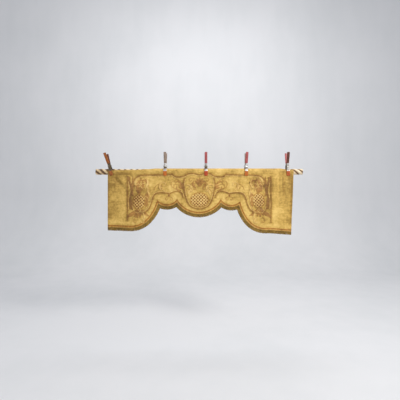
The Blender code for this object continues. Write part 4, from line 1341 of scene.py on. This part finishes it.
# place along the pole, lean in degrees, how far the front jaw stands off the cloth
CLAMPS = (
    (-0.768, -17.0, 0.0),
    (-0.296, 0.0, STRAP_STAND),
    (0.059, 0.0, STRAP_STAND),
    (0.408, 2.0, STRAP_STAND),
    (0.770, 0.0, 0.0),
)
TIP_Z = -0.036
TIP_MOUTH_Z = 0.004
BEND_Z = 0.012
PIVOT_Z = 0.049
PIVOT_FLAT = 0.006
GRIP_MOUTH_Z = 0.072
GRIP_SPLAY = 0.004
GRIP_TOP = (-0.040, 0.166)
LEVER_THICKNESS = 0.0022
TIP_WIDTH = 0.025
PIVOT_WIDTH = 0.026
GRIP_WIDTH = 0.018
VINYL_WALL = 0.0022
SLEEVE_MOUTH = 0.006
SLEEVE_LIP = 0.0007
LIP_LENGTH = 0.0016
SLEEVE_SIDES = 24
SHARP_STEEL = 42.0
VINYL_GAP = 0.0003
EAR_THICKNESS = 0.0015
EAR_RADIUS = 0.0062
PIN_RADIUS = 0.0026
PIN_HEAD_RADIUS = 0.0046
SPRING_RADIUS = 0.0090
WIRE_RADIUS = 0.0010
COIL_TURNS = 6
COIL_STEPS = 16
COIL_HALF_LENGTH = 0.0086
RIB_RISE = 0.0009
RIB_RUN = 0.012
RIB_FADE = 0.010
EAR_FOOT = 0.0105


def lever_line(stand):
    """A lever's middle line from jaw to handle, as (y, z, width), its jaw held stand off the cloth."""
    cover = VINYL_GAP + VINYL_WALL + VINYL_GAP + LEVER_THICKNESS / 2
    front = -(CLOTH_RADIUS + HALF_CLOTH + stand + cover)
    pinch = -(SPRING_RADIUS + VINYL_GAP + LEVER_THICKNESS / 2)
    return [
        Vector((front, TIP_Z + VINYL_WALL + VINYL_GAP, TIP_WIDTH)),
        Vector((front, TIP_MOUTH_Z, TIP_WIDTH)),
        Vector((front, BEND_Z, TIP_WIDTH)),
        Vector((pinch, PIVOT_Z - PIVOT_FLAT, PIVOT_WIDTH)),
        Vector((pinch, PIVOT_Z + PIVOT_FLAT, PIVOT_WIDTH)),
        Vector((pinch - GRIP_SPLAY, GRIP_MOUTH_Z, GRIP_WIDTH)),
        Vector((*GRIP_TOP, GRIP_WIDTH)),
    ]


def softened(line, passes=3):
    """The line with its corners cut again and again, until they are round."""
    for _ in range(passes):
        cut = [line[0]]
        for a, b in zip(line, line[1:]):
            cut += [a.lerp(b, 0.25), a.lerp(b, 0.75)]
        line = cut + [line[-1]]
    return line


def outward_at(line, k):
    """The direction away from the pole, across the line, as (y, z)."""
    along = step_at(line, k).to_2d().normalized()
    return Vector((-along.y, along.x))


# %% [markdown]
# ## Levers, springs and vinyl
# A clamp has three kinds of shape, and each is made at the origin before it is moved to its seat. A bent box
# would look cut out of card, so the lever has rounded edges and a rib, the sleeve a lip and a blunt nose, and
# the spring is a real coil of wire with a riveted pin through it.

# %% Shapes of one clamp
# share of the half width, share of the half thickness, and 1 where the pressed rib stands out
LEVER_SECTION = (
    (-1.00, -0.4, 0), (-1.00, 0.4, 0), (-0.90, 1.0, 0), (-0.46, 1.0, 0), (-0.30, 1.0, 1), (0.0, 1.1, 1),
    (0.30, 1.0, 1), (0.46, 1.0, 0), (0.90, 1.0, 0), (1.00, 0.4, 0), (1.00, -0.4, 0), (0.90, -1.0, 0),
    (-0.90, -1.0, 0),
)


def add_lever(build_mesh, line, ear_place):
    line = softened(line)
    rings = []
    for k, point in enumerate(line):
        outward = outward_at(line, k)
        begun = smooth_step((point.y - BEND_Z) / RIB_RUN)
        ended = smooth_step((point.y - GRIP_MOUTH_Z + RIB_FADE) / RIB_FADE)
        shown = begun * (1.0 - ended)
        ring = []
        for across, through, on_rib in LEVER_SECTION:
            out = through * LEVER_THICKNESS / 2 + on_rib * RIB_RISE * shown
            ring.append(Vector((across * point.z / 2, point.x + outward.x * out, point.y + outward.y * out)))
        rings.append(ring)
    loft(build_mesh, rings)
    root = -(SPRING_RADIUS + VINYL_GAP)
    angles = [math.radians(105 - 15 * k) for k in range(15)]
    arc = [(EAR_RADIUS * math.cos(a), EAR_RADIUS * math.sin(a)) for a in angles]
    outline = [(root, EAR_FOOT)] + arc + [(root, -EAR_FOOT)]
    for side in (-1, 1):
        near, far = side * ear_place, side * (ear_place + EAR_THICKNESS)
        loft(build_mesh, [[Vector((x, y, PIVOT_Z + z)) for y, z in outline] for x in (near, far)])


def add_sleeve(build_mesh, line, width):
    """A dipped vinyl sleeve, closed and rounded at the line's last place, open at its first."""
    outer_half = LEVER_THICKNESS / 2 + VINYL_GAP + VINYL_WALL
    inner_half = LEVER_THICKNESS / 2 + VINYL_GAP
    whole = length_of(line)
    steps = [0.0, 0.0006, LIP_LENGTH] + [whole * k / 14 for k in range(2, 13)]
    nose = [whole - outer_half * (1 - math.sin(math.radians(a))) for a in (0, 20, 40, 60, 75, 87)]

    def ring_at(walked, half_width, half_depth):
        point = along_line(line, [walked / whole])[0]
        along = (line[-1] - line[0]).normalized()
        outward = Vector((-along.y, along.x))
        ring = []
        for k in range(SLEEVE_SIDES):
            angle = 2 * math.pi * k / SLEEVE_SIDES
            c, s = math.cos(angle), math.sin(angle)
            x = half_width * math.copysign(abs(c) ** 0.45, c)
            out = half_depth * math.copysign(abs(s) ** 0.6, s)
            ring.append(Vector((x, point.x + outward.x * out, point.y + outward.y * out)))
        return ring

    half_width = width / 2 + VINYL_WALL + VINYL_GAP
    rings = [ring_at(walked, width / 2 + VINYL_GAP, inner_half) for walked in (SLEEVE_MOUTH, 0.0)]
    for walked in steps:
        lip = SLEEVE_LIP * max(0.0, 1 - walked / LIP_LENGTH)
        rings.append(ring_at(walked, half_width - lip, outer_half - lip))
    for walked in nose:
        shrink = outer_half - math.sqrt(max(0.0, outer_half**2 - (outer_half - (whole - walked)) ** 2))
        rings.append(ring_at(walked, half_width - shrink, max(0.0003, outer_half - shrink)))
    loft(build_mesh, rings)


def add_tube(build_mesh, path, radius, sides=7):
    rings = []
    for k, point in enumerate(path):
        along = step_at(path, k).normalized()
        first = along.cross(Vector((0.31, 0.52, 0.79))).normalized()
        second = along.cross(first)
        angles = [2 * math.pi * side / sides for side in range(sides)]
        rings.append([point + radius * (first * math.cos(a) + second * math.sin(a)) for a in angles])
    loft(build_mesh, rings)


def add_spring(build_mesh):
    """The coil with its two legs, which press the handles apart, and the riveted pin through it."""
    coil = SPRING_RADIUS - WIRE_RADIUS
    steps = COIL_TURNS * COIL_STEPS
    path = []
    for k in range(steps + 1):
        angle = 2 * math.pi * k / COIL_STEPS
        x = COIL_HALF_LENGTH * (2 * k / steps - 1)
        path.append(Vector((x, coil * math.cos(angle), PIVOT_Z + coil * math.sin(angle))))
    first, last = path[0], path[-1]
    path = [first + Vector((0.0, 0.0004 * k, 0.0046 * k)) for k in range(4, 0, -1)] + path
    path += [last + Vector((0.0, 0.0, -0.0010 * k)) for k in range(1, 3)]
    add_tube(build_mesh, path, WIRE_RADIUS)
    coil_faces = len(build_mesh.faces)
    head = PIVOT_WIDTH / 2 + 2 * EAR_THICKNESS - 0.0006
    profile = (
        (head + 0.0018, 0.0008), (head + 0.0015, 0.0030), (head + 0.0008, PIN_HEAD_RADIUS),
        (head, PIN_HEAD_RADIUS), (head, PIN_RADIUS), (-head, PIN_RADIUS), (-head, PIN_HEAD_RADIUS),
        (-head - 0.0008, PIN_HEAD_RADIUS), (-head - 0.0015, 0.0030), (-head - 0.0018, 0.0008),
    )
    rings = []
    for x, radius in profile:
        angles = [math.pi * k / 10 for k in range(20)]
        rings.append([Vector((x, radius * math.cos(a), PIVOT_Z + radius * math.sin(a))) for a in angles])
    loft(build_mesh, rings)
    build_mesh.faces.ensure_lookup_table()
    for face in build_mesh.faces[coil_faces:]:
        face.material_index = 1


# %% [markdown]
# ## Steel and vinyl
# The steel is bright plated sheet, rubbed dull in patches, and its tone paints shade at the pivots and along
# the levers' left edges. The vinyl is a dipped skin, red to orange from one clamp to the next, and its darker
# copies are painted shade on the parts that stand in shade. Both finishes are a mix of the surface's own
# noise in colour, gloss and bump.

# %% Finishes of the clamps


def plain_finish(name, light, dark, patch, rough, metallic, relief, coat=0.0, painted_shade=0.0):
    """A smooth skin: two colours, gloss and bump from one noise, darker where the tone paints shade."""
    made, tree, place = new_finish(name)
    rubbed = cloudy(tree, place, patch, 5.0)
    fine = cloudy(tree, place, patch * 0.12, 3.0, (1.0, 1.0, 0.25))
    worn = sum_of(tree, (rubbed, 0.75), (fine, 0.25))
    # on the steel the tone is painted shade at the pivots and on the levers' left edges
    shaded_and_soiled = sum_of(tree, (worn, 1.0), (tone_of(tree), painted_shade)) if painted_shade else worn
    colour = colour_of(tree, shaded_and_soiled, 0.32, 0.58, ((0.0, dye(*dark)), (1.0, dye(*light))))
    gloss = fitted(tree, worn, 0.3, 0.7, rough + 0.12, rough - 0.08)
    return surfaced(made, colour, gloss, worn, 0.5, relief, (("Metallic", metallic), ("Coat Weight", coat)))


# the steel takes painted shade from the tone table
PLATED_STEEL = plain_finish(
    "plated_steel", (248, 246, 243), (104, 88, 66), 0.012, 0.36, 0.6, 0.0002, painted_shade=0.14
)
SPRING_WIRE = plain_finish("spring_wire", (92, 90, 88), (44, 42, 40), 0.006, 0.42, 1.0, 0.0002)

# name, light and dark colour
VINYL_COLOURS = (
    ("orange_vinyl", (198, 106, 14), (154, 74, 8)),
    # a darker orange: painted shade for the first clamp, which stands in shade
    ("shaded_orange_vinyl", (160, 88, 18), (112, 56, 8)),
    ("red_vinyl", (190, 72, 14), (146, 46, 8)),
    ("rust_vinyl", (186, 90, 20), (140, 58, 10)),
    # a dark copy: painted shade for handles that stand in shade
    ("shaded_dark_vinyl", (110, 58, 40), (62, 30, 18)),
    ("faded_vinyl", (156, 136, 120), (110, 92, 78)),
    ("rose_vinyl", (186, 92, 90), (138, 62, 62)),
)
VINYLS = {}
for name, light, dark in VINYL_COLOURS:
    VINYLS[name] = plain_finish(name, light, dark, 0.010, 0.50, 0.0, 0.0002, 0.04)
print("vinyls:", len(VINYLS))

# %% [markdown]
# ## Putting the clamps together
# Each clamp leans and stands off a little differently, and its vinyl has its own colours, so both are read
# from tables. Placing ten levers by hand would invite small mistakes, so a loop makes them. The back lever is
# made like the front one and turned half round, to bite on the pole's back, and its ears sit outside.

# %% Five clamps on the pole
# jaws, front handle, back handle
DIPS = (
    ("shaded_orange_vinyl", "shaded_orange_vinyl", "shaded_dark_vinyl"),
    ("orange_vinyl", "faded_vinyl", "faded_vinyl"),
    ("red_vinyl", "rose_vinyl", "rose_vinyl"),
    ("orange_vinyl", "rose_vinyl", "faded_vinyl"),
    ("rust_vinyl", "shaded_dark_vinyl", "rose_vinyl"),
)
HALF_TURN = Matrix.Rotation(math.pi, 4, "Z")
GRIP_START = 0.003
front_ear = PIVOT_WIDTH / 2 - 2 * EAR_THICKNESS
back_ear = front_ear + EAR_THICKNESS + VINYL_GAP


def seated(name, fill, seat, finishes, replaced):
    """One shape of a clamp, made at the origin by fill and moved to its seat."""
    build_mesh = bmesh.new()
    fill(build_mesh)
    bmesh.ops.transform(build_mesh, matrix=seat, verts=build_mesh.verts)
    return add_piece(name, build_mesh, finishes, (replaced,), SHARP_STEEL)


for number, ((x, lean, stand), (jaw_dip, front_dip, back_dip)) in enumerate(zip(CLAMPS, DIPS), 1):
    clamp = f"clamp_{number}"
    seat = Matrix.Translation((x, 0.0, 0.0)) @ Matrix.Rotation(math.radians(lean), 4, "Y")
    metals = (SPRING_WIRE, PLATED_STEEL)
    seated(f"{clamp}_coil_and_pin", add_spring, seat, metals, f"{clamp}_spring")
    for side, place, off_cloth, ear, grip_dip in (
        ("front", seat, stand, front_ear, front_dip),
        ("back", seat @ HALF_TURN, -(CLOTH_THICKNESS + SEAT_GAP), back_ear, back_dip),
    ):
        bar = lever_line(off_cloth)
        jaw = [Vector((bar[0].x, TIP_MOUTH_Z)), Vector((bar[0].x, TIP_Z))]
        reach = (bar[-1] - bar[-2]).to_2d().normalized()
        handle = [bar[-2].to_2d() + reach * GRIP_START, bar[-1].to_2d() + reach * (VINYL_WALL + VINYL_GAP)]
        for part, solid, slot, finish, fill in (
            ("lever", "arm", "clamp_steel", PLATED_STEEL, lambda b: add_lever(b, bar, ear)),
            ("jaw_pad", "tip", "clamp_vinyl", VINYLS[jaw_dip], lambda b: add_sleeve(b, jaw, TIP_WIDTH)),
            ("handle", "grip", "clamp_vinyl", VINYLS[grip_dip], lambda b: add_sleeve(b, handle, GRIP_WIDTH)),
        ):
            seated(f"{clamp}_{side}_{part}", fill, place, (finish,), f"{clamp}_{side}_{solid}")
print("clamps:", len(CLAMPS))

# %% [markdown]
# ## Floor, backdrop and lamps
# The photograph was lit softly from the front and a little from the right, before a pale grey wall. A wall
# and a floor that meet in a corner would draw a line across the picture. A studio sweep curves from one
# into the other. Four soft area lamps and a bright world light it: a main one at the upper right, a weaker
# one at the left, a wide one in front, and one that lights the sweep behind the pole.

# %% The stage
FLOOR_Z = -1.50
SWEEP_START = 2.40
SWEEP_RADIUS = 1.40
SWEEP_STEPS = 24
stage_mesh = bmesh.new()
profile = [(-8.0, FLOOR_Z), (SWEEP_START, FLOOR_Z)]
for k in range(1, SWEEP_STEPS + 1):
    angle = math.pi / 2 * k / SWEEP_STEPS
    back, up = SWEEP_RADIUS * math.sin(angle), SWEEP_RADIUS * (1 - math.cos(angle))
    profile.append((SWEEP_START + back, FLOOR_Z + up))
profile.append((SWEEP_START + SWEEP_RADIUS, 6.0))
rows = [[stage_mesh.verts.new((x, y, z)) for y, z in profile] for x in (-16.0, 16.0)]
for k in range(len(profile) - 1):
    stage_mesh.faces.new((rows[0][k], rows[1][k], rows[1][k + 1], rows[0][k + 1]))
sweep_data = bpy.data.meshes.new("studio_sweep")
stage_mesh.to_mesh(sweep_data)
stage_mesh.free()
sweep_data.shade_smooth()
sweep = bpy.data.objects.new("studio_sweep", sweep_data)
scene.collection.objects.link(sweep)
sweep_data.materials.append(
    plain_finish("pale_paper", (228, 228, 230), (220, 221, 223), 0.9, 0.90, 0.0, 0.0002)
)

world = bpy.data.worlds.new("pale_room")
world.use_nodes = True
world.node_tree.nodes["Background"].inputs["Color"].default_value = (0.92, 0.95, 1.0, 1.0)
world.node_tree.nodes["Background"].inputs["Strength"].default_value = 0.55
scene.world = world


def add_softbox(name, place, aim, size, power, colour):
    lamp = bpy.data.lights.new(name, "AREA")
    lamp.shape = "RECTANGLE"
    lamp.size, lamp.size_y = size
    lamp.energy = power
    lamp.color = colour
    holder = bpy.data.objects.new(name, lamp)
    holder.location = place
    holder.rotation_euler = (Vector(aim) - holder.location).to_track_quat("-Z", "Y").to_euler()
    scene.collection.objects.link(holder)


add_softbox("key_softbox", (2.3, -2.2, 1.9), (0.0, 0.0, -0.2), (1.0, 1.0), 82.0, (1.0, 0.98, 0.94))
add_softbox("fill_softbox", (-2.4, -2.6, 0.4), (0.0, 0.0, -0.2), (2.0, 2.0), 12.0, (1.0, 0.99, 0.96))
add_softbox("front_softbox", (0.3, -3.3, 0.9), (0.0, 0.0, 0.0), (2.4, 0.6), 9.0, (1.0, 1.0, 1.0))
add_softbox("back_softbox", (0.0, 0.8, 3.2), (0.0, 3.6, 0.0), (4.0, 1.5), 66.0, (1.0, 1.0, 1.0))
scene.view_settings.view_transform = "Standard"
